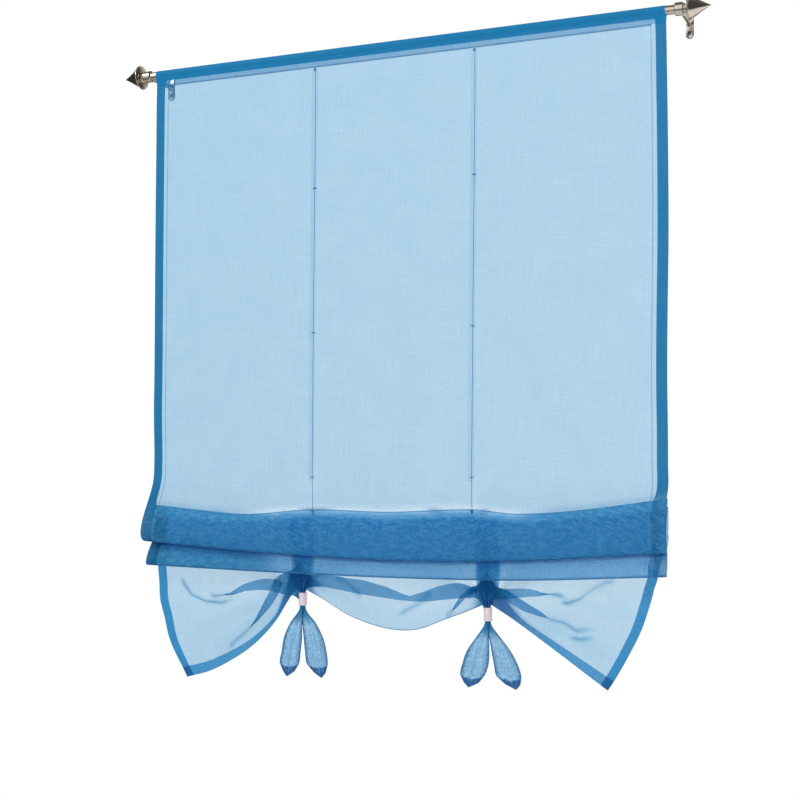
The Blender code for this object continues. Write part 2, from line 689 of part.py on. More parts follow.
def build_plate(name, x, made_of):
    """Wall plate with round ends, standing upright."""
    corner = PLATE_WIDTH / 2
    straight = PLATE_HEIGHT / 2 - corner
    steps = 8
    outline = []
    for centre_z, start in ((straight, 0.0), (-straight, math.pi)):
        for k in range(steps + 1):
            turn = start + math.pi * k / steps
            outline.append((x + corner * math.cos(turn), centre_z + corner * math.sin(turn)))
    front = WALL_DISTANCE - PLATE_THICKNESS
    bm = loft([[(px, y, pz) for px, pz in outline] for y in (front, WALL_DISTANCE)])
    return add_object(name, bm, made_of, 30)


def screw_heights():
    return (SCREW_SPACING / 2, -SCREW_SPACING / 2)


def countersink(name, x, z, clearance, made_of):
    """Screw shape, used for the screw itself and, with clearance, for its hole."""
    front = WALL_DISTANCE - PLATE_THICKNESS
    deep = SCREW_HEAD_DEPTH
    end = WALL_DISTANCE - GAP if clearance == 0.0 else WALL_DISTANCE + 0.001
    start = front if clearance == 0.0 else front - 0.001
    head = SCREW_HEAD_RADIUS + clearance
    shank = SCREW_SHANK_RADIUS + clearance
    profile = [(start, 0.0), (start, head), (front, head), (front + deep, shank),
               (end, shank), (end, 0.0)]
    if clearance == 0.0:
        profile.pop(2)
    bm = turned(profile, SMALL_SEGMENTS, closed=False)
    bmesh.ops.rotate(bm, verts=bm.verts, matrix=Matrix.Rotation(math.pi / 2, 3, "Z"))
    bmesh.ops.translate(bm, verts=bm.verts, vec=(x, 0, z))
    return add_object(name, bm, made_of, 30)


def build_bracket(side, sign, metal, screw_metal):
    """Ring round the rod, arm back to the wall plate, and the plate's two screws."""
    x = sign * BRACKET_X
    name = "bracket_" + side
    bore = ROD_RADIUS + GAP
    outer = bore + BRACKET_RING_WALL
    bracket = build_plate(name, x, metal)
    arm_start = bore + BRACKET_RING_WALL / 2
    arm_end = WALL_DISTANCE - PLATE_THICKNESS / 2
    arm = cylinder(name + "_arm", ARM_RADIUS, arm_end - arm_start,
                   (x, (arm_start + arm_end) / 2, 0), "Y", metal, 16)
    ring = cylinder(name + "_ring", outer, BRACKET_RING_WIDTH, (x, 0, 0), "X", metal,
                    ROUND_SEGMENTS)
    hole = cylinder(name + "_bore", bore, BRACKET_RING_WIDTH * 2, (x, 0, 0), "X", metal,
                    ROUND_SEGMENTS)
    union(bracket, arm)
    union(bracket, ring)
    cut(bracket, hole)
    for z, level in zip(screw_heights(), ("upper", "lower")):
        label = "_".join(("screw", side, level))
        cut(bracket, countersink(label + "_hole", x, z, GAP, metal))
        screw = countersink(label, x, z, 0.0, screw_metal)
        slot = bmesh.new()
        bmesh.ops.create_cube(slot, size=1.0)
        size = (SCREW_HEAD_RADIUS * 3, SCREW_SLOT_DEPTH * 2, SCREW_SLOT_WIDTH)
        bmesh.ops.scale(slot, verts=slot.verts, vec=size)
        place = (x, WALL_DISTANCE - PLATE_THICKNESS, z)
        bmesh.ops.translate(slot, verts=slot.verts, vec=place)
        cut(screw, add_object(label + "_slot", slot, screw_metal))
    return bracket


# Whole curtain

def clear_scene():
    for old in list(bpy.data.objects):
        bpy.data.objects.remove(old, do_unlink=True)


def build():
    clear_scene()
    voile = material("blue_voile", (0.10, 0.36, 0.62), 0.7, alpha=0.6)
    ribbon = material("blue_ribbon", (0.08, 0.32, 0.60), 0.6)
    nickel = material("brushed_nickel", (0.55, 0.52, 0.47), 0.3, metallic=1.0)
    bead = material("white_bead", (0.86, 0.80, 0.81), 0.35)
    thread = {
        "tape": material("blue_tape", (0.20, 0.45, 0.68), 0.8),
        "cord": material("blue_cord", (0.10, 0.25, 0.45), 0.8),
        "ring": material("blue_ring", (0.10, 0.25, 0.50), 0.5),
    }
    build_cloth(voile)
    left_bead_drop = TIE_LEFT_HEM + BEAD_BELOW_HEM
    right_bead_drop = TIE_RIGHT_HEM + BEAD_BELOW_HEM
    build_ribbon("tie_ribbon_left", TIE_LEFT_X, TIE_LEFT_HEM, left_bead_drop,
                 (LEFT_TAIL_FRONT, LEFT_TAIL_BACK), ribbon)
    build_ribbon("tie_ribbon_right", TIE_RIGHT_X, TIE_RIGHT_HEM, right_bead_drop,
                 (RIGHT_TAIL_FRONT, RIGHT_TAIL_BACK), ribbon)
    build_bead("tie_bead_left", TIE_LEFT_X, left_bead_drop, bead)
    build_bead("tie_bead_right", TIE_RIGHT_X, right_bead_drop, bead)
    for side, sign in (("left", -1), ("right", 1)):
        build_lift_gear(side, sign, thread)
        build_finial("finial_" + side, sign, nickel)
        build_bracket(side, sign, nickel, nickel)
    build_rod(nickel)


build()
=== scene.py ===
"""Tie-up voile curtain on its metal rod, dressed with see-through cloth and bright nickel.

Frame: metres, X along the rod, -Y into the room, +Y to the wall, +Z up. Heights on the
cloth are given as drops below its top edge.
"""

import math

import bmesh
import bpy
from mathutils import Matrix, Vector


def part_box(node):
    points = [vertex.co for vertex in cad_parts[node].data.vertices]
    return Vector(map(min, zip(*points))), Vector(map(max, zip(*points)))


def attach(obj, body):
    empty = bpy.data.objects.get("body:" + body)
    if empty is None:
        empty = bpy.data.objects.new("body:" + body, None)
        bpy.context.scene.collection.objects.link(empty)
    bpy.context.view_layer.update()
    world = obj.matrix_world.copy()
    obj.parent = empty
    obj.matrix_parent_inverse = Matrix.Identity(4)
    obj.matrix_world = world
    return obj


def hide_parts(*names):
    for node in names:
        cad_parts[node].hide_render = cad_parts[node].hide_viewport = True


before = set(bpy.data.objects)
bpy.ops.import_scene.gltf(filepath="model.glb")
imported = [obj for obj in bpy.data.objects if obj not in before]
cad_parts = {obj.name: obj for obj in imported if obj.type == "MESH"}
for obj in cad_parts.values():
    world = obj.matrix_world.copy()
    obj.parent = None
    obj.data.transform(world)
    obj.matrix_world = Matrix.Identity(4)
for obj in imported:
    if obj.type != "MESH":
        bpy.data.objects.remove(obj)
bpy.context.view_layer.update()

# Camera
VIEW_PLACE = (1.0378, -2.3991, -0.7849)
VIEW_TURN = math.radians(23.123)
LENS = 64.576
SHIFT_UP = 0.0957
SENSOR_WIDTH = 36

# Sizes shared with the solids
GAP = 0.0003
ROD_RADIUS = 0.008
CLOTH_THICKNESS = 0.0006
TOP_Z = ROD_RADIUS + GAP + CLOTH_THICKNESS
ROD_HALF_LENGTH = 0.5325
HALF_WIDTH = 0.500
POCKET_DEPTH = 0.030
SEAM_HEIGHT = 0.0015

# Drops past which a point can belong to the folds and to the skirt
FOLDS_FROM = 0.6
SKIRT_FROM = 0.9

# First fold
LEAN_LINE = [(-0.5, 0.775), (-0.33, 0.785), (-0.158, 0.802), (0.0, 0.790), (0.158, 0.802),
             (0.33, 0.785), (0.5, 0.775)]
BAND_ONE_FRONT = 0.046
BAND_ONE_RADIUS = 0.012
BAND_ONE_FLARE = 0.008
BAND_ONE_LINE = [(-0.5, 0.919), (-0.25, 0.936), (0.0, 0.945), (0.25, 0.940), (0.5, 0.922)]

# Second fold
BAND_TWO_FRONT = 0.030
BAND_TWO_RADIUS = 0.009
BAND_TWO_LINE = [(-0.5, 0.966), (-0.25, 0.973), (0.0, 0.977), (0.25, 0.975), (0.5, 0.962)]

# Turned tops of the folded layers
TOP_ONE_RADIUS = 0.0025
TOP_ONE_Y = -0.003
TOP_ONE_LINE = [(-0.5, 0.849), (-0.4, 0.858), (-0.296, 0.865), (-0.158, 0.855), (0.0, 0.858),
                (0.158, 0.852), (0.242, 0.859), (0.36, 0.851), (0.5, 0.831)]
TOP_TWO_RADIUS = 0.004
TOP_TWO_Y = 0.007
TOP_TWO_BELOW = 0.014

# Sheer strip and denser zone below the first fold's turned top
STRIP_HALF_WIDTH = 0.33
STRIP_HEIGHT = 0.0085
DENSE_ZONE_HEIGHT = 0.0165

# Skirt and its ties
TIE_LEFT_X = -0.188
TIE_RIGHT_X = 0.180
TIE_LEFT_HEM = 1.003
TIE_RIGHT_HEM = 1.018
TIE_Y = 0.008
HEM_LEFT = [(-0.434, 1.184), (-0.380, 1.168), (-0.327, 1.141), (-0.286, 1.112),
            (-0.245, 1.069), (-0.208, 1.014), (TIE_LEFT_X, TIE_LEFT_HEM)]
HEM_MIDDLE = [(TIE_LEFT_X, TIE_LEFT_HEM), (-0.152, 1.020), (-0.092, 1.052), (-0.020, 1.072),
              (0.040, 1.072), (0.095, 1.052), (0.140, 1.035), (TIE_RIGHT_X, TIE_RIGHT_HEM)]
HEM_RIGHT = [(TIE_RIGHT_X, TIE_RIGHT_HEM), (0.230, 1.048), (0.320, 1.107), (0.401, 1.162)]
SKIRT_TOP = 0.955
SKIRT_Y = 0.010
SKIRT_DRAW_IN = 0.0185
SKIRT_FLAT = 0.235
SKIRT_SWELL = 0.004
CREASES_ROUND_TIE = 17

# Sideways drift of the hanging cloth: (drop, shift) at both edges and at both cords
EDGE_LEFT = [(0.0, -0.001), (0.036, -0.0045), (0.15, -0.006), (0.33, -0.0082), (0.6, -0.0105),
             (0.72, -0.0128), (0.90, -0.0044), (0.945, -0.0036), (0.97, -0.0092),
             (1.01, -0.0094), (1.05, -0.0134), (1.13, -0.0134), (1.175, -0.008)]
CORD_LEFT = [(0.0, 0.0), (0.1, -0.002), (0.7, -0.0085), (0.87, -0.008), (0.955, 0.0)]
CORD_RIGHT = [(0.0, 0.0), (0.1, -0.0015), (0.7, -0.007), (0.87, -0.007), (0.955, 0.0)]
EDGE_RIGHT = [(0.0, -0.0005), (0.036, 0.0012), (0.12, 0.0026), (0.20, 0.0038), (0.33, 0.0050),
              (0.40, 0.0050), (0.52, 0.0034), (0.6, 0.0028), (0.70, 0.0032), (0.77, 0.0040),
              (0.81, 0.0058), (0.845, 0.0026), (0.89, 0.0010), (0.93, 0.0045), (0.965, 0.0034),
              (0.985, -0.0008), (1.0, -0.0016), (1.054, -0.0036), (1.122, -0.0044),
              (1.16, -0.0034)]

# First estimate of the photo's camera, with which the tucks were picked
FIRST_EYE = (1.026930, -2.460377, -0.779785)
FIRST_TURN = math.radians(22.4)
FIRST_FOCUS_PIXELS = 1458
MIDDLE_PIXEL = 400
HORIZON_PIXEL = 470

# Tucks and creases of the skirt, as seen on the photo: pixels (x, y, half of the tuck's width)
TUCKS_SEEN = {
    "middle": [(303, 582, 6), (322, 581, 6), (340, 584, 6.5), (362, 588, 7), (385, 593, 5.5),
               (400, 597, 3.5), (410, 599, 2.4), (426, 597, 5.2), (440, 594, 7), (458, 591, 8),
               (476, 589, 7), (486, 590, 6)],
    "left_high": [(300, 582, 8), (280, 582, 8), (262, 584.5, 5.5), (245, 588, 3.5),
                  (231, 594.5, 2), (215, 596.5, 1), (209, 595, 0)],
    "left_low": [(298, 586, 6), (280, 591, 6), (268, 604, 4.5), (257, 620, 2.2),
                 (247, 631, 1.4), (234, 642, 1), (226, 652, 0)],
    "left_loop": [(179, 576, 0), (184, 585, 0.8), (192, 595, 1.2), (205, 601.5, 1.3),
                  (220, 603, 0.8), (236, 599, 0)],
    "right_high": [(488, 588, 7), (505, 589, 7), (522, 592, 5), (540, 595, 2.2),
                   (556, 595, 1.2), (569, 598, 0)],
    "right_swoosh": [(558, 604, 0), (568, 604, 1.2), (580, 599.5, 1.6), (592, 590.5, 1.6),
                     (604, 584, 1.2), (618, 581, 0)],
    "right_low": [(488, 598, 7), (505, 601, 6.5), (520, 606, 5), (535, 612, 3),
                  (551, 619.5, 1.3), (566, 624, 1.2), (577, 631, 1), (600, 629, 0)],
    "right_faint": [(566, 637, 0), (580, 640, 1.2), (598, 637, 0)],
    "middle_spike": [(330, 587, 0), (345, 591.5, 1.6), (354, 597, 1.3), (362, 602, 0)],
    "middle_small": [(396, 618, 0), (408, 609.5, 1.2), (424, 604, 1.2), (438, 601, 0)],
    "middle_right": [(486, 596, 6), (474, 599, 5), (464, 604, 3.5), (454, 612, 2),
                     (445, 620, 0)],
}

# Ribbons and beads
RIBBON_WIDTH = 0.045
RIBBON_THICKNESS = 0.0008
TAIL_THICKNESS = 0.0026
NECK_HALF_WIDTH = 0.0045
NECK_SPREAD = 0.0018
NECK_HALF_THICKNESS = 0.0042
STRAP_BOW = 0.0095
TAIL_TIP_DROP = 1.170
BEAD_HEIGHT = 0.024
BEAD_BELOW_HEM = 0.0085
BEAD_OUTER_RADIUS = 0.008
BEAD_BORE_RADIUS = 0.0064
BEAD_LIP = 0.0011
BEAD_WAIST = 0.0004
TAIL_SHARES = (0.08, 0.25, 0.45, 0.65, 0.82, 0.93, 1.0)
LEFT_TAIL_FRONT = [(-0.0075, 0.0035), (-0.025, 0.001), (-0.038, 0.001), (-0.043, -0.002),
                   (-0.047, -0.006), (-0.040, -0.016), (-0.033, -0.031)]
LEFT_TAIL_BACK = [(-0.0035, 0.0075), (-0.003, 0.027), (0.000, 0.041), (0.003, 0.048),
                  (0.007, 0.050), (0.021, 0.046), (0.036, 0.038)]
RIGHT_TAIL_FRONT = [(-0.0075, 0.0035), (-0.022, 0.003), (-0.039, 0.004), (-0.048, 0.002),
                    (-0.052, -0.006), (-0.045, -0.017), (-0.037, -0.035)]
RIGHT_TAIL_BACK = [(-0.0035, 0.0075), (0.001, 0.024), (0.006, 0.043), (0.011, 0.056),
                   (0.016, 0.062), (0.032, 0.060), (0.051, 0.053)]

# Cords, tapes and rings
CORD_X = 0.158
CORD_Y = 0.0048
CORD_RADIUS = 0.0008
CORD_DRAWN_SHARE = 0.65
KNOT_DRAWN_SHARE = 0.75
TAPE_WIDTH = 0.012
TAPE_THICKNESS = 0.0005
RING_RADIUS = 0.0030
RING_WIRE_RADIUS = 0.0007
CORD_TOP_BELOW_SEAM = 0.002
# How the cord leaves the cloth: (drop below the cord's top, share of the way to CORD_Y)
CORD_LEAVES = ((0.0, 0.0), (0.010, 0.0), (0.040, 0.5), (0.080, 1.0))

# Rod, finials and brackets
ROD_WALL = 0.001
FINIAL_RADIUS = 0.0230
PLUG_DEPTH = 0.015
PLUG_RADIUS = 0.0067
NECK_RADIUS = 0.0095
NECK_LENGTH = 0.0035
RIM_RADIUS = 0.0014
CONE_LENGTH = 0.036
BRACKET_X = 0.5235
COLLAR_WALL = 0.003
COLLAR_HALF_LENGTH = 0.0075
COLLAR_EDGE = 0.0010
WALL_DISTANCE = 0.085
PLATE_THICKNESS = 0.003
PLATE_HALF_WIDTH = 0.007
PLATE_HALF_HEIGHT = 0.027
PLATE_EDGE = 0.0009

# Drawn by the materials: hems, stitch lines, seam, the tape's edge and the cord's twist
SIDE_HEM = 0.0185
HEM_MORE_IN_FOLD = 0.0040
LOW_HEM = 0.0028
LOW_HEM_MORE = 0.0160
SIDE_LINE_INSET = 0.0262
LINE_HALF_WIDTH = 0.0009
SEAM_END_INSET = 0.0253
SEAM_HALF_HEIGHT = 0.0014
SEAM_SPACE = 0.0018
DOUBLE_BELOW_ROD = 0.0019
TAPE_EDGE = 0.0014
CORD_TURNS = 260.0

# Light through the cloth
VOILE_HOLES = 0.60
TAPE_HOLES = 0.55
GLOW_SHARE = 0.45
LEAST_COSINE = 0.22
SHEER_TINT = (0.74, 0.90, 1.0, 1)
TAPE_TINT = (0.92, 0.97, 1.0, 1)

# Thread colours, and the navy tones of painted shade
HEM_THREAD = (0.006, 0.160, 0.350, 1)
SKIRT_HEM_THREAD = (0.006, 0.215, 0.48, 1)
POCKET_THREAD = (0.022, 0.325, 0.66, 1)
# Navies of painted shade: on the cloth, where the dark stitch lines and seam share it, and on the
# ribbons
NAVY_SHADE_AND_STITCH = (0.008, 0.055, 0.25, 1)
RIBBON_SHADE_NAVY = (0.026, 0.092, 0.50, 1)
SPECK_THREAD = (0.17, 0.50, 0.78, 1)
PALE_THREAD = (0.085, 0.38, 0.64, 1)

# Fineness
COLUMNS = 312
SKIRT_ROWS = 150
RIBBON_AROUND = 48
RIBBON_ROWS = 150
TAPE_COLUMNS = 8
TAPE_ROWS = 120

# Floor
FLOOR_Z = -1.80
FLOOR_RADIUS = 1.7


def drop_to_z(drop):
    return TOP_Z - drop


def mix(a, b, t):
    return a + (b - a) * t


def ease(t):
    t = min(max(t, 0.0), 1.0)
    return t * t * (3 - 2 * t)


def curve_shares(t):
    """Shares of start, leaving slope, end and arriving slope at t on a smooth curve."""
    return (2 * t ** 3 - 3 * t ** 2 + 1, t ** 3 - 2 * t ** 2 + t, 3 * t ** 2 - 2 * t ** 3,
            t ** 3 - t ** 2)


def through(points, x):
    """Smooth curve through (x, value) points, read at x."""
    if x <= points[0][0]:
        return points[0][1]
    if x >= points[-1][0]:
        return points[-1][1]
    last = len(points) - 1
    k = 0
    while points[k + 1][0] < x:
        k += 1

    def slope(n):
        a = points[max(n - 1, 0)]
        b = points[min(n + 1, last)]
        return (b[1] - a[1]) / (b[0] - a[0])

    x0, y0 = points[k]
    x1, y1 = points[k + 1]
    run = x1 - x0
    from_start, leave, from_end, arrive = curve_shares((x - x0) / run)
    return (from_start * y0 + leave * run * slope(k) + from_end * y1
            + arrive * run * slope(k + 1))


def sway(x, drop):
    """Sideways drift of the cloth at x, at a drop below its top."""
    lines = ((-HALF_WIDTH, EDGE_LEFT), (-CORD_X, CORD_LEFT), (CORD_X, CORD_RIGHT),
             (HALF_WIDTH, EDGE_RIGHT))
    return through([(at, through(line, drop)) for at, line in lines], x)


def straight(points, x):
    """Straight lines through (x, value) points, read at x."""
    for a, b in zip(points, points[1:]):
        if x <= b[0]:
            return mix(a[1], b[1], max((x - a[0]) / (b[0] - a[0]), 0.0))
    return points[-1][1]


def heading(before, here, after):
    """Direction of a smooth curve at a point, from its two neighbours."""
    first = here - before
    second = after - here
    if first.length < 1e-9:
        return second.normalized()
    if second.length < 1e-9:
        return first.normalized()
    share = second.length / (first.length + second.length)
    return first.normalized() * share + second.normalized() * (1 - share)


def refined(points, steps):
    """Smooth curve through the points; steps is one count, or one for each pair."""
    fine = []
    last = len(points) - 1
    for k in range(last):
        a, b = points[k], points[k + 1]
        run = (b - a).length
        leave = heading(points[max(k - 1, 0)], a, b) * run
        arrive = heading(a, b, points[min(k + 2, last)]) * run
        count = steps[k] if hasattr(steps, "__len__") else steps
        for n in range(count):
            from_a, leaving, from_b, arriving = curve_shares(n / count)
            fine.append(a * from_a + leave * leaving + b * from_b + arrive * arriving)
    fine.append(points[-1].copy())
    return fine


# Materials

def finish_tree(name):
    made = bpy.data.materials.new(name)
    made.use_nodes = True
    made.node_tree.nodes.clear()
    return made, made.node_tree


def wire(tree, kind, inputs=None, **settings):
    """Add a node, set it up, and plug values or sockets into it."""
    made = tree.nodes.new(kind)
    for key, value in settings.items():
        setattr(made, key, value)
    for key, value in (inputs or {}).items():
        if isinstance(value, bpy.types.NodeSocket):
            tree.links.new(value, made.inputs[key])
        else:
            made.inputs[key].default_value = value
    return made


def sums(tree, operation, a, b=0.0, c=0.0):
    return wire(tree, "ShaderNodeMath", {0: a, 1: b, 2: c}, operation=operation).outputs[0]


def times(tree, first, *others):
    """Product of all the values."""
    for other in others:
        first = sums(tree, "MULTIPLY", first, other)
    return first


def times_plus(tree, value, factor, added):
    return sums(tree, "MULTIPLY_ADD", value, factor, added)


def largest(tree, first, *others):
    """Largest of all the values."""
    for other in others:
        first = sums(tree, "MAXIMUM", first, other)
    return first


def over(tree, value, limit):
    """1 where the value lies over the limit, or else 0."""
    return sums(tree, "GREATER_THAN", value, limit)


def under(tree, value, limit):
    """1 where the value lies under the limit, or else 0."""
    return sums(tree, "LESS_THAN", value, limit)


def one_less(tree, value):
    """1 less the value."""
    return sums(tree, "SUBTRACT", 1.0, value)


def flat_place(tree):
    """Place on the piece's flat pattern, in metres."""
    return wire(tree, "ShaderNodeUVMap", uv_map="flat").outputs[0]


def object_place(tree):
    return wire(tree, "ShaderNodeTexCoord").outputs["Object"]


def parts_of(tree, vector):
    """The vector's three numbers."""
    return wire(tree, "ShaderNodeSeparateXYZ", {0: vector}).outputs


def look(tree, name):
    """A look that lay_grid keeps at each point of the piece."""
    return wire(tree, "ShaderNodeAttribute", attribute_name=name).outputs["Fac"]


def spread_noise(tree, vector, scale, detail=2.0):
    """Noise stretched by a scale in each direction."""
    placed = wire(tree, "ShaderNodeMapping", {"Vector": vector, "Scale": scale})
    made = wire(tree, "ShaderNodeTexNoise", {"Vector": placed.outputs[0], "Scale": 1.0,
                                             "Detail": detail, "Roughness": 0.55})
    return made.outputs[0]


def tinted(tree, start, amount, end):
    """Colour that goes from start to end as the amount goes from 0 to 1."""
    made = wire(tree, "ShaderNodeMix", {"Factor": amount, "A": start, "B": end},
                data_type="RGBA")
    return made.outputs["Result"]


def bumped(tree, strength, distance, height):
    return wire(tree, "ShaderNodeBump", {"Strength": strength, "Distance": distance,
                                         "Height": height}).outputs[0]


def show(tree, shader):
    wire(tree, "ShaderNodeOutputMaterial", {"Surface": shader.outputs[0]})


def sheer_shader(tree, thread, ply, tint, holes, bump_from):
    """Voile: blue threads with light coming through the holes between them."""
    facing = wire(tree, "ShaderNodeLayerWeight", {"Blend": 0.5}).outputs["Facing"]
    cosine = largest(tree, one_less(tree, facing), LEAST_COSINE)
    open_share = sums(tree, "POWER", holes, sums(tree, "DIVIDE", ply, cosine))
    bump = bumped(tree, 0.25, 0.0004, bump_from)
    front = wire(tree, "ShaderNodeBsdfPrincipled",
                 {"Base Color": thread, "Roughness": 0.65, "Sheen Weight": 0.06,
                  "Sheen Roughness": 0.4, "Specular IOR Level": 0.12, "Normal": bump})
    glow = wire(tree, "ShaderNodeBsdfTranslucent", {"Color": thread, "Normal": bump})
    threads = wire(tree, "ShaderNodeMixShader", {0: GLOW_SHARE, 1: front.outputs[0],
                                                 2: glow.outputs[0]})
    clear = wire(tree, "ShaderNodeBsdfTransparent", {"Color": tint})
    show(tree, wire(tree, "ShaderNodeMixShader", {0: open_share, 1: threads.outputs[0],
                                                  2: clear.outputs[0]}))


def cloth_finish():
    """Sheer blue voile with denser hems, a seam under the rod and fine slubs."""
    made, tree = finish_tree("blue_voile_cloth")
    flat = flat_place(tree)
    u, v, _ = parts_of(tree, flat)
    height = parts_of(tree, object_place(tree))[2]
    fold, shade, ply = (look(tree, name) for name in ("fold", "shade", "ply"))
    warp = spread_noise(tree, flat, (900, 14, 1))
    weft = spread_noise(tree, flat, (14, 900, 1))
    grain = spread_noise(tree, flat, (420, 420, 1), 3.0)
    cloud = spread_noise(tree, flat, (16, 16, 1))
    moire = spread_noise(tree, flat, (70, 130, 1), 4.0)

    # Where the hems, the stitch lines, the seam and the pocket lie
    aside = sums(tree, "ABSOLUTE", u)
    on_right = over(tree, u, 0.0)
    past_ties = largest(tree, under(tree, u, TIE_LEFT_X), over(tree, u, TIE_RIGHT_X))
    in_skirt = under(tree, v, SKIRT_FLAT)
    above_seam = over(tree, height, drop_to_z(POCKET_DEPTH) + SEAM_SPACE)
    hem_edge = times_plus(tree, fold, -HEM_MORE_IN_FOLD, HALF_WIDTH - SIDE_HEM)
    side_hem = over(tree, aside, hem_edge)
    low_hem = under(tree, v, times_plus(tree, past_ties, LOW_HEM_MORE, LOW_HEM))
    skirt_hem = largest(tree, low_hem, times(tree, side_hem, in_skirt))
    side_line = sums(tree, "COMPARE", aside, HALF_WIDTH - SIDE_LINE_INSET, LINE_HALF_WIDTH)
    side_line = times(tree, side_line, one_less(tree, largest(tree, above_seam, in_skirt)))
    seam = sums(tree, "COMPARE", height, drop_to_z(POCKET_DEPTH), SEAM_HALF_HEIGHT)
    seam = times(tree, seam, under(tree, aside, HALF_WIDTH - SEAM_END_INSET))
    pocket = over(tree, height, -ROD_RADIUS - DOUBLE_BELOW_ROD)
    loose = times(tree, fold, times_plus(tree, on_right, 0.75, 0.10))
    dense_hem = times(tree, side_hem, one_less(tree, loose))

    # How dense the threads lie
    slub = sums(tree, "ADD", sums(tree, "ADD", warp, weft), grain)
    weave = sums(tree, "ADD", times_plus(tree, slub, 0.6, 0.1),
                 times_plus(tree, cloud, 0.3, -0.15))
    rough = largest(tree, fold, times(tree, skirt_hem, 0.8))
    for noise, depth in ((grain, 2.2), (moire, 1.5)):
        patch = times(tree, rough, sums(tree, "SUBTRACT", noise, 0.5))
        weave = times_plus(tree, patch, depth, weave)
    for where, layers in ((dense_hem, 5.6), (side_hem, 0.4), (side_line, 1.0), (low_hem, 4.0),
                          (skirt_hem, -0.3), (seam, 2.2), (pocket, 4.5), (shade, 2.0)):
        ply = times_plus(tree, where, layers, ply)
    ply = times(tree, ply, largest(tree, weave, 0.15))

    # Colour of the threads, with painted shade mixed in as navy
    speck = over(tree, sums(tree, "ADD", grain, moire), 1.03)
    speck = times_plus(tree, speck, 0.50, 0.10)
    # Navy mask: painted shade from the shade look and on the right hem inside the folds; dark
    # thread of the stitch line and seam; darker at the hems' corner and along the lower edge
    # between the ties
    for where, depth in ((times(tree, side_hem, on_right, fold), 0.30),
                         (times(tree, side_line, one_less(tree, fold)), 0.45), (seam, 0.75),
                         (times(tree, side_hem, low_hem), 0.7),
                         (times(tree, low_hem, one_less(tree, past_ties)), 0.7)):
        shade = largest(tree, shade, times(tree, where, depth))
    double = largest(tree, pocket, times(tree, side_hem, above_seam))
    colour = tinted(tree, (0.012, 0.260, 0.50, 1), grain, (0.028, 0.330, 0.60, 1))
    for amount, thread in ((times(tree, speck, fold), SPECK_THREAD),
                           (times(tree, side_line, fold, 0.5), PALE_THREAD),
                           (dense_hem, HEM_THREAD), (skirt_hem, SKIRT_HEM_THREAD),
                           (times(tree, speck, skirt_hem, 0.28), SPECK_THREAD),
                           (double, POCKET_THREAD), (shade, NAVY_SHADE_AND_STITCH)):
        colour = tinted(tree, colour, amount, thread)
    sheer_shader(tree, colour, ply, SHEER_TINT, VOILE_HOLES, slub)
    return made


def ribbon_finish():
    """The same voile, laid double, with stitched edges and a folded point."""
    made, tree = finish_tree("blue_voile_ribbon")
    flat = flat_place(tree)
    grain = spread_noise(tree, flat, (420, 420, 1), 3.0)
    warp = spread_noise(tree, flat, (900, 30, 1))
    mottle = spread_noise(tree, flat, (230, 150, 1), 4.0)
    slub = sums(tree, "ADD", grain, warp)
    weave = sums(tree, "ADD", times_plus(tree, slub, 1.5, -0.5),
                 times_plus(tree, mottle, 3.4, -1.7))
    ply = times(tree, look(tree, "ply"), largest(tree, weave, 0.1))
    colour = tinted(tree, (0.012, 0.240, 0.46, 1), grain, (0.028, 0.320, 0.58, 1))
    colour = tinted(tree, colour, look(tree, "fold"), HEM_THREAD)
    # Painted shade from the shade look, as navy
    colour = tinted(tree, colour, look(tree, "shade"), RIBBON_SHADE_NAVY)
    sheer_shader(tree, colour, ply, SHEER_TINT, VOILE_HOLES, slub)
    return made


def tape_finish():
    """Thin ribbed tape, denser along one edge."""
    made, tree = finish_tree("blue_woven_tape")
    flat = flat_place(tree)
    rib = spread_noise(tree, flat, (60, 1500, 1))
    edge = under(tree, parts_of(tree, flat)[0], TAPE_EDGE - TAPE_WIDTH / 2)
    colour = tinted(tree, (0.012, 0.22, 0.46, 1), rib, (0.03, 0.30, 0.58, 1))
    sheer_shader(tree, colour, times_plus(tree, edge, 0.10, 0.10), TAPE_TINT, TAPE_HOLES, rib)
    return made


def cord_finish():
    """Twisted thread: two plies that wind round the cord."""
    made, tree = finish_tree("blue_twisted_cord")
    u, v, _ = parts_of(tree, flat_place(tree))
    turn = times_plus(tree, v, CORD_TURNS, times(tree, u, 2.0))
    wave = times_plus(tree, sums(tree, "SINE", times(tree, turn, math.tau)), 0.5, 0.5)
    colour = tinted(tree, (0.05, 0.14, 0.30, 1), wave, (0.16, 0.32, 0.50, 1))
    show(tree, wire(tree, "ShaderNodeBsdfPrincipled",
                    {"Base Color": colour, "Roughness": 0.8,
                     "Normal": bumped(tree, 0.8, 0.0003, wave)}))
    return made


def metal_finish(name, dark, light, roughness):
    """Nickel with faint brushing and a slightly cloudy tone."""
    made, tree = finish_tree(name)
    place = object_place(tree)
    brushed = spread_noise(tree, place, (30, 900, 900), 3.0)
    cloud = spread_noise(tree, place, (60, 60, 60), 3.0)
    show(tree, wire(tree, "ShaderNodeBsdfPrincipled",
                    {"Base Color": tinted(tree, dark, cloud, light), "Metallic": 1.0,
                     "Roughness": times_plus(tree, brushed, 0.16, roughness - 0.08),
                     "Normal": bumped(tree, 0.08, 0.0003, brushed)}))
    return made


def mottled_finish(name, scale, detail, deep, light, surface):
    """Moulded or painted surface whose tone wanders a little."""
    made, tree = finish_tree(name)
    cloud = spread_noise(tree, object_place(tree), (scale, scale, scale), detail)
    show(tree, wire(tree, "ShaderNodeBsdfPrincipled",
                    {"Base Color": tinted(tree, deep, cloud, light), **surface}))
    return made


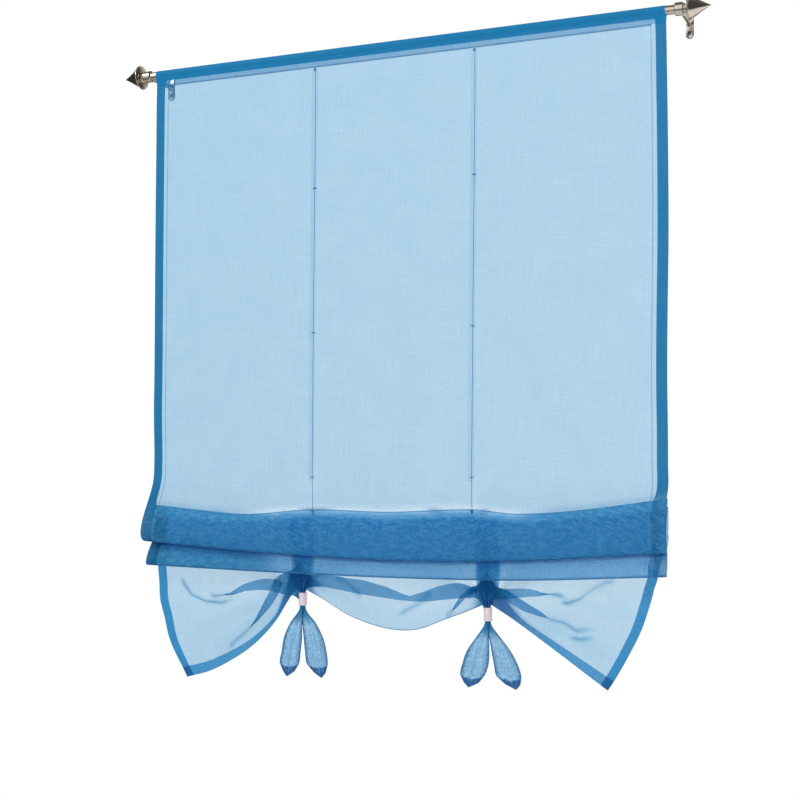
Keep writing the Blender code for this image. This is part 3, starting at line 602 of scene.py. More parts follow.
def bead_finish():
    return mottled_finish("pale_pearl_bead", 260, 3.0, (0.74, 0.62, 0.64, 1),
                          (0.90, 0.84, 0.83, 1),
                          {"Roughness": 0.28, "Coat Weight": 0.4, "Coat Roughness": 0.12,
                           "Subsurface Weight": 0.15, "Subsurface Scale": 0.002})


def ring_finish():
    return mottled_finish("dark_moulded_ring", 400, 2.0, (0.02, 0.06, 0.14, 1),
                          (0.05, 0.12, 0.24, 1), {"Roughness": 0.35})


# Mesh helpers

def add_piece(name, bm, made_of, node, sharp=None):
    """Turn a bmesh into a smooth piece in place of a node, sharp past an angle in degrees."""
    mesh = bpy.data.meshes.new(name)
    bm.to_mesh(mesh)
    bm.free()
    mesh.materials.append(made_of)
    mesh.shade_smooth()
    if sharp:
        mesh.set_sharp_from_angle(angle=math.radians(sharp))
    made = bpy.data.objects.new(name, mesh)
    bpy.context.scene.collection.objects.link(made)
    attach(made, "root")
    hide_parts(node)
    return made


def lay_grid(bm, across, along, place):
    """Grid of cells, placed by place(column, row) -> (point, u, v, looks by name)."""
    uv = bm.loops.layers.uv.get("flat") or bm.loops.layers.uv.new("flat")
    layers = {}
    for name in ("ply", "shade", "fold"):
        layers[name] = bm.verts.layers.float.get(name) or bm.verts.layers.float.new(name)
    made = bmesh.ops.create_grid(bm, x_segments=across, y_segments=along, size=0.5)["verts"]
    flat = {}
    for vert in made:
        column = round((vert.co.x + 0.5) * across)
        row = round((vert.co.y + 0.5) * along)
        point, u, v, looks = place(column, row)
        vert.co = point
        for name, value in looks.items():
            vert[layers[name]] = value
        flat[vert] = (u, v)
    faces = set()
    for vert in made:
        faces.update(vert.link_faces)
    for face in faces:
        for loop in face.loops:
            loop[uv].uv = flat[loop.vert]


def spun(profile, steps, axis="X"):
    """Spin an (along, radius) profile round an axis through the origin."""
    bm = bmesh.new()
    verts = [bm.verts.new((along, 0.0, radius)) for along, radius in profile]
    edges = [bm.edges.new(pair) for pair in zip(verts, verts[1:])]
    bmesh.ops.spin(bm, geom=verts + edges, cent=(0, 0, 0), axis=(1, 0, 0), angle=math.tau,
                   steps=steps, use_merge=True)
    bmesh.ops.remove_doubles(bm, verts=bm.verts, dist=1e-6)
    bmesh.ops.recalc_face_normals(bm, faces=bm.faces)
    turns = {"Y": Matrix.Rotation(math.pi / 2, 3, "Z"), "Z": Matrix.Rotation(-math.pi / 2, 3, "Y")}
    if axis in turns:
        bmesh.ops.rotate(bm, verts=bm.verts, matrix=turns[axis])
    return bm


# Cloth

def bend(y, drop, radius, start, end, steps):
    """Arc round (y, drop), from one angle to another in degrees."""
    points = []
    for k in range(steps + 1):
        turn = math.radians(mix(start, end, k / steps))
        points.append(Vector((y + radius * math.cos(turn), drop + radius * math.sin(turn))))
    return points


def pocket_points():
    """Pocket round the rod as (y, drop), from the seam behind to the seam in front."""
    radius = ROD_RADIUS + GAP + CLOTH_THICKNESS / 2
    seam_z = drop_to_z(POCKET_DEPTH)
    leave = math.acos(radius / -seam_z)
    back = (radius * math.sin(leave), -radius * math.cos(leave))
    points = [Vector((mix(0.0, back[0], 0.07), TOP_Z - mix(seam_z, back[1], 0.07)))]
    for k in range(13):
        turn = leave + (math.tau - 2 * leave) * k / 12
        points.append(Vector((radius * math.sin(turn), TOP_Z + radius * math.cos(turn))))
    points.append(Vector((mix(-back[0], 0.0, 0.6), TOP_Z - mix(back[1], seam_z, 0.6))))
    points.append(Vector((0.0, POCKET_DEPTH)))
    return points


def fold_points(x):
    """Both folds at x as (y, drop), from the panel's last straight point on."""
    top_one = through(TOP_ONE_LINE, x)
    low_one = through(BAND_ONE_LINE, x)
    low_two = through(BAND_TWO_LINE, x)
    top_two = top_one + TOP_TWO_BELOW
    one_drop = low_one - BAND_ONE_RADIUS
    two_drop = low_two - BAND_TWO_RADIUS
    one_y = -BAND_ONE_FRONT + BAND_ONE_RADIUS
    two_y = -BAND_TWO_FRONT + BAND_TWO_RADIUS
    lean = through(LEAN_LINE, x)
    rows = []
    for step in (0.18, 0.36, 0.52, 0.68, 0.84):
        rows.append(Vector((-BAND_ONE_FRONT * ease(step), mix(lean, one_drop, step))))
    rows += bend(one_y, one_drop, BAND_ONE_RADIUS, 180, 0, 5)
    up_y = one_y + BAND_ONE_RADIUS
    leg_y = TOP_ONE_Y - TOP_ONE_RADIUS
    leg_drop = top_one + TOP_ONE_RADIUS
    rows.append(Vector((mix(up_y, leg_y, 0.5), mix(one_drop, leg_drop, 0.5))))
    rows += bend(TOP_ONE_Y, leg_drop, TOP_ONE_RADIUS, 180, 360, 4)
    down_y = TOP_ONE_Y + TOP_ONE_RADIUS
    rows.append(Vector((down_y - 0.0035, mix(leg_drop, one_drop, 0.7))))
    rows.append(Vector((down_y - 0.0085, one_drop + 0.004)))
    rows.append(Vector((-0.0205, low_one + 0.0075)))
    rows += bend(two_y, two_drop, BAND_TWO_RADIUS, 180, 0, 4)
    rise_y = two_y + BAND_TWO_RADIUS
    inner_y = TOP_TWO_Y - TOP_TWO_RADIUS
    inner_drop = top_two + TOP_TWO_RADIUS
    rows.append(Vector((mix(rise_y, inner_y, 0.55), mix(two_drop, inner_drop, 0.40))))
    rows.append(Vector((mix(rise_y, inner_y, 0.88), mix(two_drop, inner_drop, 0.75))))
    rows += bend(TOP_TWO_Y, inner_drop, TOP_TWO_RADIUS, 180, 360, 4)
    return rows


def upper_column(x):
    """Fine points of one column with their looks, from the back seam to the skirt's top."""
    lean = through(LEAN_LINE, x)
    first = POCKET_DEPTH + SEAM_HEIGHT
    path = pocket_points()
    steps = [2] * (len(path) - 1)
    for part in (0.0, 0.2, 0.5, 0.8, 1.0):
        path.append(Vector((0.0, mix(first, lean, part))))
    steps += [1, 4, 6, 7, 7]
    folds = fold_points(x)
    path += folds
    steps += [3] * len(folds)
    path.append(Vector((SKIRT_Y, SKIRT_TOP)))
    steps += [8]
    top_one = through(TOP_ONE_LINE, x)
    low_one = through(BAND_ONE_LINE, x)
    low_two = through(BAND_TWO_LINE, x)
    column = []
    for point in refined(path, steps):
        y, drop = point
        in_fold = ease((drop - top_one + 0.015) / 0.02) if drop > FOLDS_FROM else 0.0
        middle = ease((STRIP_HALF_WIDTH - abs(x)) / 0.10)
        strip = ease((top_one + STRIP_HEIGHT - drop) / 0.003) * in_fold * middle
        dense_zone = ease((top_one + DENSE_ZONE_HEIGHT - drop) / 0.004) * in_fold - strip
        # Painted shade: a dark line along the first fold's turned top, a shadow line under the
        # first fold, and a dark line along the second fold's lower edge
        shade = 0.55 * math.exp(-((drop - top_one) / 0.0016) ** 2) if y > -0.02 else 0.0
        if y < -0.015:
            shade = max(shade, 0.9 * math.exp(-((drop - low_one - 0.0012) / 0.0034) ** 2))
        if y < -0.008:
            shade = max(shade, 0.55 * math.exp(-((drop - low_two) / 0.0022) ** 2))
        layers = 1.0 + 0.16 * in_fold - 0.90 * strip + 0.85 * dense_zone
        if drop > low_one - 0.002 and y < SKIRT_Y - 0.001:
            layers *= mix(0.60, 2.20, ease((-0.22 - x) / 0.08))
        if POCKET_DEPTH - 0.014 < drop < POCKET_DEPTH:
            layers = 0.78
        looks = {"ply": layers, "shade": shade, "fold": in_fold}
        forward = min(max(-y / BAND_ONE_FRONT, 0.0), 1.0) if drop > FOLDS_FROM else 0.0
        flare = BAND_ONE_FLARE * forward ** 1.5
        at_x = x * (1 + flare / HALF_WIDTH)
        if drop > SKIRT_FROM and y > -0.001:
            drawn = ease((drop - SKIRT_FROM) / (SKIRT_TOP - SKIRT_FROM))
            at_x -= SKIRT_DRAW_IN * max(x, 0.0) / HALF_WIDTH * drawn
        at_x += sway(x, drop)
        column.append((Vector((at_x, y, drop_to_z(drop))), looks))
    return column


def hem_point(x):
    """Where the column that starts at x ends on the skirt's lower edge."""
    if x <= TIE_LEFT_X:
        share = (x + HALF_WIDTH) / (TIE_LEFT_X + HALF_WIDTH)
        hem = HEM_LEFT
    elif x >= TIE_RIGHT_X:
        share = (x - TIE_RIGHT_X) / (HALF_WIDTH - TIE_RIGHT_X)
        hem = HEM_RIGHT
    else:
        share = (x - TIE_LEFT_X) / (TIE_RIGHT_X - TIE_LEFT_X)
        hem = HEM_MIDDLE
    at = mix(hem[0][0], hem[-1][0], share)
    return at, through(hem, at)


def on_skirt(seen_x, seen_y, seen_half):
    """Place of a photo point on the skirt, to the millimetre: (x, drop, half width)."""
    right_x, right_y = math.cos(FIRST_TURN), math.sin(FIRST_TURN)
    aside = (seen_x - MIDDLE_PIXEL) / FIRST_FOCUS_PIXELS
    off_y = SKIRT_Y - FIRST_EYE[1]
    off_x = off_y * (aside * right_x - right_y) / (right_x + aside * right_y)
    pixel = (off_y * right_x - off_x * right_y) / FIRST_FOCUS_PIXELS
    drop = (seen_y - HORIZON_PIXEL) * pixel - FIRST_EYE[2]
    return round(FIRST_EYE[0] + off_x, 3), round(drop, 3), round(seen_half * pixel, 4)


TUCKS = [[on_skirt(*point) for point in line] for line in TUCKS_SEEN.values()]


def tuck_shift(line, x, drop):
    """How far a tuck moves the cloth at (x, drop): sideways, down and towards the wall.

    The fourth value is the strength of the faint line where the tuck is too fine to stand out.
    """
    best = None
    for (x0, d0, w0), (x1, d1, w1) in zip(line, line[1:]):
        run_x, run_d = x1 - x0, d1 - d0
        length = math.hypot(run_x, run_d)
        t = ((x - x0) * run_x + (drop - d0) * run_d) / length ** 2
        t = min(max(t, 0.0), 1.0)
        off_x, off_d = x - (x0 + run_x * t), drop - (d0 + run_d * t)
        away = math.hypot(off_x, off_d)
        if best is None or away < best[0]:
            side_x, side_d = -run_d / length, run_x / length
            if side_d < 0:
                side_x, side_d = -side_x, -side_d
            best = (away, off_x * side_x + off_d * side_d, side_x, side_d, mix(w0, w1, t))
    away, off, side_x, side_d, wide = best
    if wide < 1e-5:
        return 0.0, 0.0, 0.0, 0.0
    past = math.sqrt(max(away ** 2 - off ** 2, 0.0))
    reach = wide / 0.64
    core = max(0.43 * reach, 0.0022)
    t = off / core
    near = math.exp(-(past / 0.010) ** 2)
    fold = t * math.exp(1 - abs(t)) * near
    lift = (t / 2) * math.exp(1 - abs(t) / 2) * near
    deep = ease((wide - 0.0012) / 0.0035)
    line_width = 0.0034 + 0.5 * wide
    faint = (1 - deep) * math.exp(-(off / line_width) ** 2) * near * ease(wide / 0.0016)
    push = -reach * fold * deep
    return push * side_x, push * side_d, lift * min(0.0022, wide * 0.6), faint


def skirt_point(x, share):
    """Point of the skirt, a share of the way down its column, and its looks."""
    hem_x, hem_drop = hem_point(x)
    start_x = x - SKIRT_DRAW_IN * max(x, 0.0) / HALF_WIDTH
    at_x = start_x + (hem_x - start_x) * share ** 1.8
    drop = mix(SKIRT_TOP, hem_drop, share)
    at_x += sway(x, drop)
    away = min(abs(x - TIE_LEFT_X), abs(x - TIE_RIGHT_X))
    y = SKIRT_Y + (TIE_Y - SKIRT_Y) * math.exp(-(away / 0.05) ** 2) * share
    if not TIE_LEFT_X < x < TIE_RIGHT_X:
        swell = min((away / 0.03) * math.exp(-away / 0.110), 1.0)
        ripple = math.sin(math.pi * share ** 0.8) * math.sin(math.tau * 2.5 * share)
        y += SKIRT_SWELL * swell * ripple
    keep = ease(share / 0.12) * ease((1 - share) / 0.06)
    shifts = [tuck_shift(line, at_x, drop) for line in TUCKS]
    move_x, move_d, move_y, faint = (sum(values) for values in zip(*shifts))
    layers = 0.96 + faint
    # Painted shade: a little along the faint tuck lines, in the creases round each knot, and on
    # the hem near the ties outside them
    shade = 0.12 * faint
    for tie_x, hem in ((TIE_LEFT_X, TIE_LEFT_HEM), (TIE_RIGHT_X, TIE_RIGHT_HEM)):
        off_x, off_d = at_x - tie_x, drop - hem + 0.006
        knot = math.hypot(off_x, off_d)
        turn = math.atan2(off_x, -off_d)
        rays = math.cos(CREASES_ROUND_TIE * turn)
        layers += (2.4 + 1.2 * rays) * math.exp(-(knot / 0.026) ** 2)
        layers += 0.45 * rays * math.exp(-knot / 0.045) * ease(knot / 0.03)
        layers += 0.34 * math.cos(6 * turn + 0.7) * math.exp(-knot / 0.20) * ease(knot / 0.05)
        shade = max(shade, (0.62 + 0.38 * rays) * math.exp(-(knot / 0.024) ** 2))
        if not TIE_LEFT_X < x < TIE_RIGHT_X:
            in_hem = ease((share - 0.86) / 0.05)
            shade = max(shade, 0.75 * math.exp(-(knot / 0.085) ** 2) * in_hem)
    point = Vector((at_x + move_x * keep, y + move_y * keep, drop_to_z(drop + move_d * keep)))
    return point, {"ply": layers, "shade": shade, "fold": 0.0}


def build_cloth(made_of):
    """One sheet from the pocket's back seam to the skirt's lower hem."""
    columns = []
    for k in range(COLUMNS + 1):
        x = mix(-HALF_WIDTH, HALF_WIDTH, k / COLUMNS)
        points = upper_column(x)
        points.pop()
        skirt_start = len(points)
        for n in range(SKIRT_ROWS + 1):
            points.append(skirt_point(x, n / SKIRT_ROWS))
        heights = [0.0] * len(points)
        for n in range(SKIRT_ROWS + 1):
            heights[skirt_start + n] = SKIRT_FLAT * (1 - n / SKIRT_ROWS)
        for n in range(skirt_start - 1, -1, -1):
            heights[n] = heights[n + 1] + (points[n][0] - points[n + 1][0]).length
        columns.append((x, points, heights))
    rows = len(columns[0][1]) - 1

    def place(column, row):
        x, points, heights = columns[column]
        point, looks = points[row]
        return point, x, heights[row], looks

    bm = bmesh.new()
    lay_grid(bm, COLUMNS, rows, place)
    bmesh.ops.recalc_face_normals(bm, faces=bm.faces)
    return add_piece("voile_cloth", bm, made_of, node="curtain_cloth")


# Ribbons

def ribbon_sections(tie_x, hem_drop, side, tail):
    """Sections (x, y, drop, half width, half thickness, density) of one ribbon end."""
    half = RIBBON_WIDTH / 2
    thin = RIBBON_THICKNESS / 2
    behind = TOP_TWO_Y + TOP_TWO_RADIUS + CLOTH_THICKNESS / 2 + GAP + thin
    strap_y = TOP_TWO_Y if side < 0 else behind
    bow_y = TIE_Y + side * STRAP_BOW
    neck_y = TIE_Y + side * NECK_SPREAD
    bead_drop = hem_drop + BEAD_BELOW_HEM
    neck_end = bead_drop + BEAD_HEIGHT
    top = max(through(TOP_ONE_LINE, tie_x - half), through(TOP_ONE_LINE, tie_x + half))
    top += TOP_TWO_BELOW + CLOTH_THICKNESS / 2 + GAP
    rows = [(tie_x, strap_y, top, half, thin, 0.08),
            (tie_x, strap_y, top + 0.050, half, thin, 0.12),
            (tie_x, mix(strap_y, bow_y, 0.4), top + 0.080, half * 0.96, thin, 0.50),
            (tie_x, bow_y, hem_drop - 0.020, half * 0.70, 0.0010, 0.9),
            (tie_x, mix(bow_y, neck_y, 0.25), hem_drop - 0.006, half * 0.42, 0.0018, 2.4),
            (tie_x, mix(bow_y, neck_y, 0.62), hem_drop + 0.002, 0.0062, 0.0024, 3.2),
            (tie_x, neck_y, bead_drop, NECK_HALF_WIDTH, NECK_HALF_THICKNESS, 3.5),
            (tie_x, neck_y, neck_end, NECK_HALF_WIDTH, NECK_HALF_THICKNESS, 3.5)]
    for share, (left_edge, right_edge) in zip(TAIL_SHARES, tail):
        thick = mix(NECK_HALF_THICKNESS, TAIL_THICKNESS / 2, ease(share / 0.35))
        thick = mix(thick, RIBBON_THICKNESS, ease((share - 0.8) / 0.2))
        y = TIE_Y + side * mix(NECK_SPREAD, TAIL_THICKNESS * 0.95, ease(share / 0.3))
        layers = mix(3.5, 0.75, ease(share / 0.28))
        rows.append((tie_x + (left_edge + right_edge) / 2, y,
                     mix(neck_end, TAIL_TIP_DROP, share), (right_edge - left_edge) / 2,
                     thick, layers))
    return rows


def build_ribbon_end(bm, tie_x, hem_drop, side, tail):
    """One ribbon end: strap, pleats at the knot, neck in the bead and pointed tail."""
    rows = ribbon_sections(tie_x, hem_drop, side, tail)
    first, last = rows[0][2], rows[-1][2]
    knot_drop = hem_drop + 0.001
    neck_end = hem_drop + BEAD_BELOW_HEM + BEAD_HEIGHT
    tip_start = mix(neck_end, TAIL_TIP_DROP, 0.84)
    corner = mix(neck_end, TAIL_TIP_DROP, 0.82)

    def section(index, drop):
        read = straight if drop > corner and index in (0, 3) else through
        return read([(row[2], row[index]) for row in rows], drop)

    def place(column, row):
        drop = mix(first, last, row / RIBBON_ROWS)
        x, y, wide, thick, layers = (section(index, drop) for index in (0, 1, 3, 4, 5))
        x += sway(x, drop)
        turn = math.tau * column / RIBBON_AROUND
        across = math.cos(turn)
        near = math.exp(-((drop - knot_drop) / 0.022) ** 2)
        lines = math.cos(2.7 * math.pi * across + 1.3 * side)
        pleat = 0.0020 * near * lines
        below = ease((drop - neck_end) / 0.02) * ease((TAIL_TIP_DROP - drop) / 0.05)
        pleat += 0.0010 * below * math.cos(2.6 * math.pi * across + 0.8 * side + drop * 25)
        fall = ease((drop - neck_end) / 0.03)
        rim = abs(across) ** 6 * fall
        tip = ease((drop - tip_start - 0.004 * (1 - abs(across))) / 0.001)
        crease = fall * math.exp(-((across - 0.1 * side) / 0.05) ** 2) * 0.35
        point = Vector((x + wide * across, y + thick * math.sin(turn) + pleat,
                        drop_to_z(drop)))
        # The shade look is painted shade: in the knot's pleats, and on the tail's rim and folded
        # tip, which are also laid denser and hemmed
        looks = {"ply": layers + 2.2 * rim + 1.8 * tip + near * (0.6 + 0.6 * lines) + crease,
                 "shade": min(near * (0.56 + 0.44 * lines) + 0.25 * tip + 0.3 * rim, 1.0),
                 "fold": max(rim, tip)}
        return point, RIBBON_WIDTH * column / RIBBON_AROUND * 2, drop - first, looks

    lay_grid(bm, RIBBON_AROUND, RIBBON_ROWS, place)


def build_ribbon(side_name, tie_x, hem_drop, tails, made_of):
    """Both ribbon ends of one tie, which run through its bead."""
    bm = bmesh.new()
    for side, tail in zip((-1, 1), tails):
        build_ribbon_end(bm, tie_x, hem_drop, side, tail)
    bmesh.ops.remove_doubles(bm, verts=bm.verts, dist=1e-6)
    open_ends = [edge for edge in bm.edges if edge.is_boundary]
    bmesh.ops.holes_fill(bm, edges=open_ends, sides=0)
    bmesh.ops.recalc_face_normals(bm, faces=bm.faces)
    return add_piece("gathered_ribbon_" + side_name, bm, made_of,
                     node="tie_ribbon_" + side_name)


def build_bead(side_name, tie_x, hem_drop, made_of):
    """Short sleeve with rolled lips and a slight waist."""
    half = BEAD_HEIGHT / 2
    straight_half = half - BEAD_LIP
    profile = [(-straight_half, BEAD_BORE_RADIUS)]

    def roll(end, start_radius, end_radius):
        """Half round of the lip at one end, from one radius to the other."""
        for k in range(7):
            turn = math.pi * k / 6
            profile.append((end * (straight_half + BEAD_LIP * math.sin(turn)),
                            mix(start_radius, end_radius, (1 - math.cos(turn)) / 2)))

    roll(-1, BEAD_BORE_RADIUS, BEAD_OUTER_RADIUS)
    for k in range(1, 6):
        t = k / 6
        profile.append((mix(-straight_half, straight_half, t),
                        BEAD_OUTER_RADIUS - BEAD_WAIST * math.sin(math.pi * t)))
    roll(1, BEAD_OUTER_RADIUS, BEAD_BORE_RADIUS)
    profile.append((-straight_half, BEAD_BORE_RADIUS))
    bm = spun(profile, 48, "Z")
    middle = drop_to_z(hem_drop + BEAD_BELOW_HEM + half)
    bmesh.ops.translate(bm, verts=bm.verts, vec=(tie_x, TIE_Y, middle))
    add_piece("pearl_bead_" + side_name, bm, made_of, node="tie_bead_" + side_name)


# Cords, tapes and rings

def build_cord(side_name, x, made_of):
    """Twisted lift cord with a small knot at its top and on the lowest ring."""
    end_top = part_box("end_ring_" + side_name)[1][2]
    top = drop_to_z(POCKET_DEPTH + CORD_TOP_BELOW_SEAM)
    near = CLOTH_THICKNESS / 2 + TAPE_THICKNESS + 2 * GAP + CORD_RADIUS
    route = [Vector((x, mix(near, CORD_Y, share), top - below)) for below, share in CORD_LEAVES]
    free = route[-1].z
    for k in range(1, 13):
        route.append(Vector((x, CORD_Y, mix(free, end_top, k / 12))))
    for point in route:
        point.x += sway(x, TOP_Z - point.z)
    bm = bmesh.new()
    sweep(bm, refined(route, 3), CORD_RADIUS * CORD_DRAWN_SHARE, 10)
    for centre, size in ((Vector((x - 0.001, near, top - 0.002)), 0.0016),
                         (Vector((x, CORD_Y, end_top + 0.001)), 0.0015)):
        centre.x += sway(x, TOP_Z - centre.z)
        loop = []
        for k in range(40):
            t = math.tau * k / 40
            loop.append(centre + Vector((size * (math.sin(t) + 2 * math.sin(2 * t)) * 0.5,
                                         -size * math.sin(3 * t) * 0.5,
                                         size * (math.cos(t) - 2 * math.cos(2 * t)) * 0.6)))
        loop.append(loop[0].copy())
        sweep(bm, loop, CORD_RADIUS * KNOT_DRAWN_SHARE, 8)
    bmesh.ops.remove_doubles(bm, verts=bm.verts, dist=1e-6)
    bmesh.ops.recalc_face_normals(bm, faces=bm.faces)
    add_piece("twisted_cord_" + side_name, bm, made_of, node="lift_cord_" + side_name)


def sweep(bm, route, radius, around):
    """Round tube along a route, added to a bmesh."""
    length = [0.0]
    for a, b in zip(route, route[1:]):
        length.append(length[-1] + (b - a).length)
    last = len(route) - 1
    closed = (route[0] - route[-1]).length < 1e-9
    frames = []
    side = None
    for k in range(last + 1):
        before = route[k - 1] if k else (route[-2] if closed else route[0])
        after = route[k + 1] if k < last else (route[1] if closed else route[-1])
        along = (after - before).normalized()
        if side is None:
            side = Vector((0, 1, 0)) if abs(along.y) < 0.8 else Vector((1, 0, 0))
        side = (side - along * side.dot(along)).normalized()
        frames.append((side.copy(), along.cross(side)))
    if closed:
        frames[-1] = frames[0]

    def place(column, row):
        turn = math.tau * column / around
        a, b = frames[row]
        offset = a * math.cos(turn) + b * math.sin(turn)
        return route[row] + offset * radius, column / around, length[row], {}

    lay_grid(bm, around, last, place)


def build_tape(side_name, made_of):
    """Narrow woven tape behind the panel, with a slight ripple."""
    low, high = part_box("cord_tape_" + side_name)
    middle = (low[0] + high[0]) / 2
    y = (low[1] + high[1]) / 2

    def place(column, row):
        across = column / TAPE_COLUMNS - 0.5
        z = mix(high[2], low[2], row / TAPE_ROWS)
        wave = 0.00015 * math.sin(z * 90) * (1 + across)
        x = middle + TAPE_WIDTH * across + sway(middle, TOP_Z - z)
        return Vector((x, y + wave, z)), TAPE_WIDTH * across, high[2] - z, {}

    bm = bmesh.new()
    lay_grid(bm, TAPE_COLUMNS, TAPE_ROWS, place)
    bmesh.ops.recalc_face_normals(bm, faces=bm.faces)
    return add_piece("woven_tape_" + side_name, bm, made_of, node="cord_tape_" + side_name)


def build_ring(node, made_of):
    """Smooth moulded ring in the place of its solid."""
    low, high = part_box(node)
    centre = Vector([(a + b) / 2 for a, b in zip(low, high)])
    profile = []
    for k in range(13):
        turn = math.tau * k / 12
        profile.append((RING_WIRE_RADIUS * math.sin(turn),
                        RING_RADIUS + RING_WIRE_RADIUS * math.cos(turn)))
    bm = spun(profile, 32, "X" if node.startswith("end") else "Z")
    centre.x += sway(centre.x, TOP_Z - centre.z)
    bmesh.ops.translate(bm, verts=bm.verts, vec=centre)
    add_piece("moulded_" + node, bm, made_of, node=node)


# Rod, finials and brackets

def build_rod(made_of):
    """Outer skin of the rod with slightly broken edges, round the finials' plugs."""
    bore = ROD_RADIUS - ROD_WALL
    edge = 0.0003
    end = ROD_HALF_LENGTH
    profile = [(-end, bore), (-end, ROD_RADIUS - edge), (-end + edge, ROD_RADIUS),
               (end - edge, ROD_RADIUS), (end, ROD_RADIUS - edge), (end, bore)]
    bm = spun(profile, 64)
    add_piece("polished_rod", bm, made_of, node="curtain_rod", sharp=40)


def build_finial(side_name, sign, made_of):
    """Turned cone with a rolled rim and a stepped neck."""
    start = ROD_HALF_LENGTH + GAP
    disc = start + NECK_LENGTH
    profile = [(start - PLUG_DEPTH, 0.0), (start - PLUG_DEPTH, PLUG_RADIUS),
               (start, PLUG_RADIUS), (start, NECK_RADIUS - 0.0005),
               (start + 0.0005, NECK_RADIUS), (disc - 0.0006, NECK_RADIUS),
               (disc, NECK_RADIUS + 0.0007), (disc + 0.0008, FINIAL_RADIUS * 0.80),
               (disc + RIM_RADIUS, FINIAL_RADIUS * 0.93)]
    for k in range(9):
        turn = math.pi * (k / 8 - 0.5) + 0.35
        profile.append((disc + 0.0029 + RIM_RADIUS * math.sin(turn),
                        FINIAL_RADIUS - RIM_RADIUS + RIM_RADIUS * math.cos(turn)))
    cone = disc + 0.0050
    tip = cone + CONE_LENGTH
    for k in range(13):
        left = 1 - k / 12
        profile.append((mix(cone, tip, k / 12),
                        FINIAL_RADIUS * 0.90 * left ** 1.10 + 0.0002 * left))
    profile[-1] = (tip, 0.0)
    bm = spun(profile, 64)
    if sign < 0:
        bmesh.ops.rotate(bm, verts=bm.verts, matrix=Matrix.Rotation(math.pi, 3, "Z"))
    add_piece("turned_finial_" + side_name, bm, made_of, node="finial_" + side_name,
              sharp=32)


def join(bm, other):
    """Add another bmesh's shape to the first."""
    held = bpy.data.meshes.new("held")
    other.to_mesh(held)
    other.free()
    bm.from_mesh(held)
    bpy.data.meshes.remove(held)


def build_bracket(side_name, sign, made_of):
    """Collar round the rod, arm and round-ended wall plate with rounded edges."""
    x = sign * BRACKET_X
    bore = ROD_RADIUS + GAP
    outer = bore + COLLAR_WALL
    half = COLLAR_HALF_LENGTH
    profile = [(-half, bore), (-half, outer - COLLAR_EDGE), (-half + COLLAR_EDGE, outer),
               (half - COLLAR_EDGE, outer), (half, outer - COLLAR_EDGE), (half, bore),
               (-half, bore)]
    bm = spun(profile, 64)
    bmesh.ops.translate(bm, verts=bm.verts, vec=(x, 0, 0))
    arm = [(bore + 0.0012, 0.0062), (bore + 0.0040, 0.0052), (bore + 0.010, 0.0048),
           (WALL_DISTANCE - 0.016, 0.0048), (WALL_DISTANCE - 0.007, 0.0054),
           (WALL_DISTANCE - PLATE_THICKNESS, 0.0066)]
    arm_shape = spun(arm, 32, "Y")
    bmesh.ops.translate(arm_shape, verts=arm_shape.verts, vec=(x, 0, 0))
    join(bm, arm_shape)
    plate = bmesh.new()
    round_z = PLATE_HALF_HEIGHT - PLATE_HALF_WIDTH
    verts = []
    for centre_z, start in ((round_z, 0.0), (-round_z, math.pi)):
        for k in range(17):
            turn = start + math.pi * k / 16
            verts.append(plate.verts.new((x + PLATE_HALF_WIDTH * math.cos(turn), WALL_DISTANCE,
                                          centre_z + PLATE_HALF_WIDTH * math.sin(turn))))
    face = plate.faces.new(verts)
    grown = bmesh.ops.extrude_face_region(plate, geom=[face])["geom"]
    moved = [g for g in grown if isinstance(g, bmesh.types.BMVert)]
    bmesh.ops.translate(plate, verts=moved, vec=(0, -PLATE_THICKNESS, 0))
    front = WALL_DISTANCE - PLATE_THICKNESS
    rim = [e for e in plate.edges if all(abs(v.co.y - front) < 1e-6 for v in e.verts)]
    bmesh.ops.bevel(plate, geom=rim, offset=PLATE_EDGE, segments=3, profile=0.5,
                    affect="EDGES", material=-1)
    bmesh.ops.recalc_face_normals(plate, faces=plate.faces)
    join(bm, plate)
    add_piece("polished_bracket_" + side_name, bm, made_of, node="bracket_" + side_name,
              sharp=32)


# Stage, lights and camera

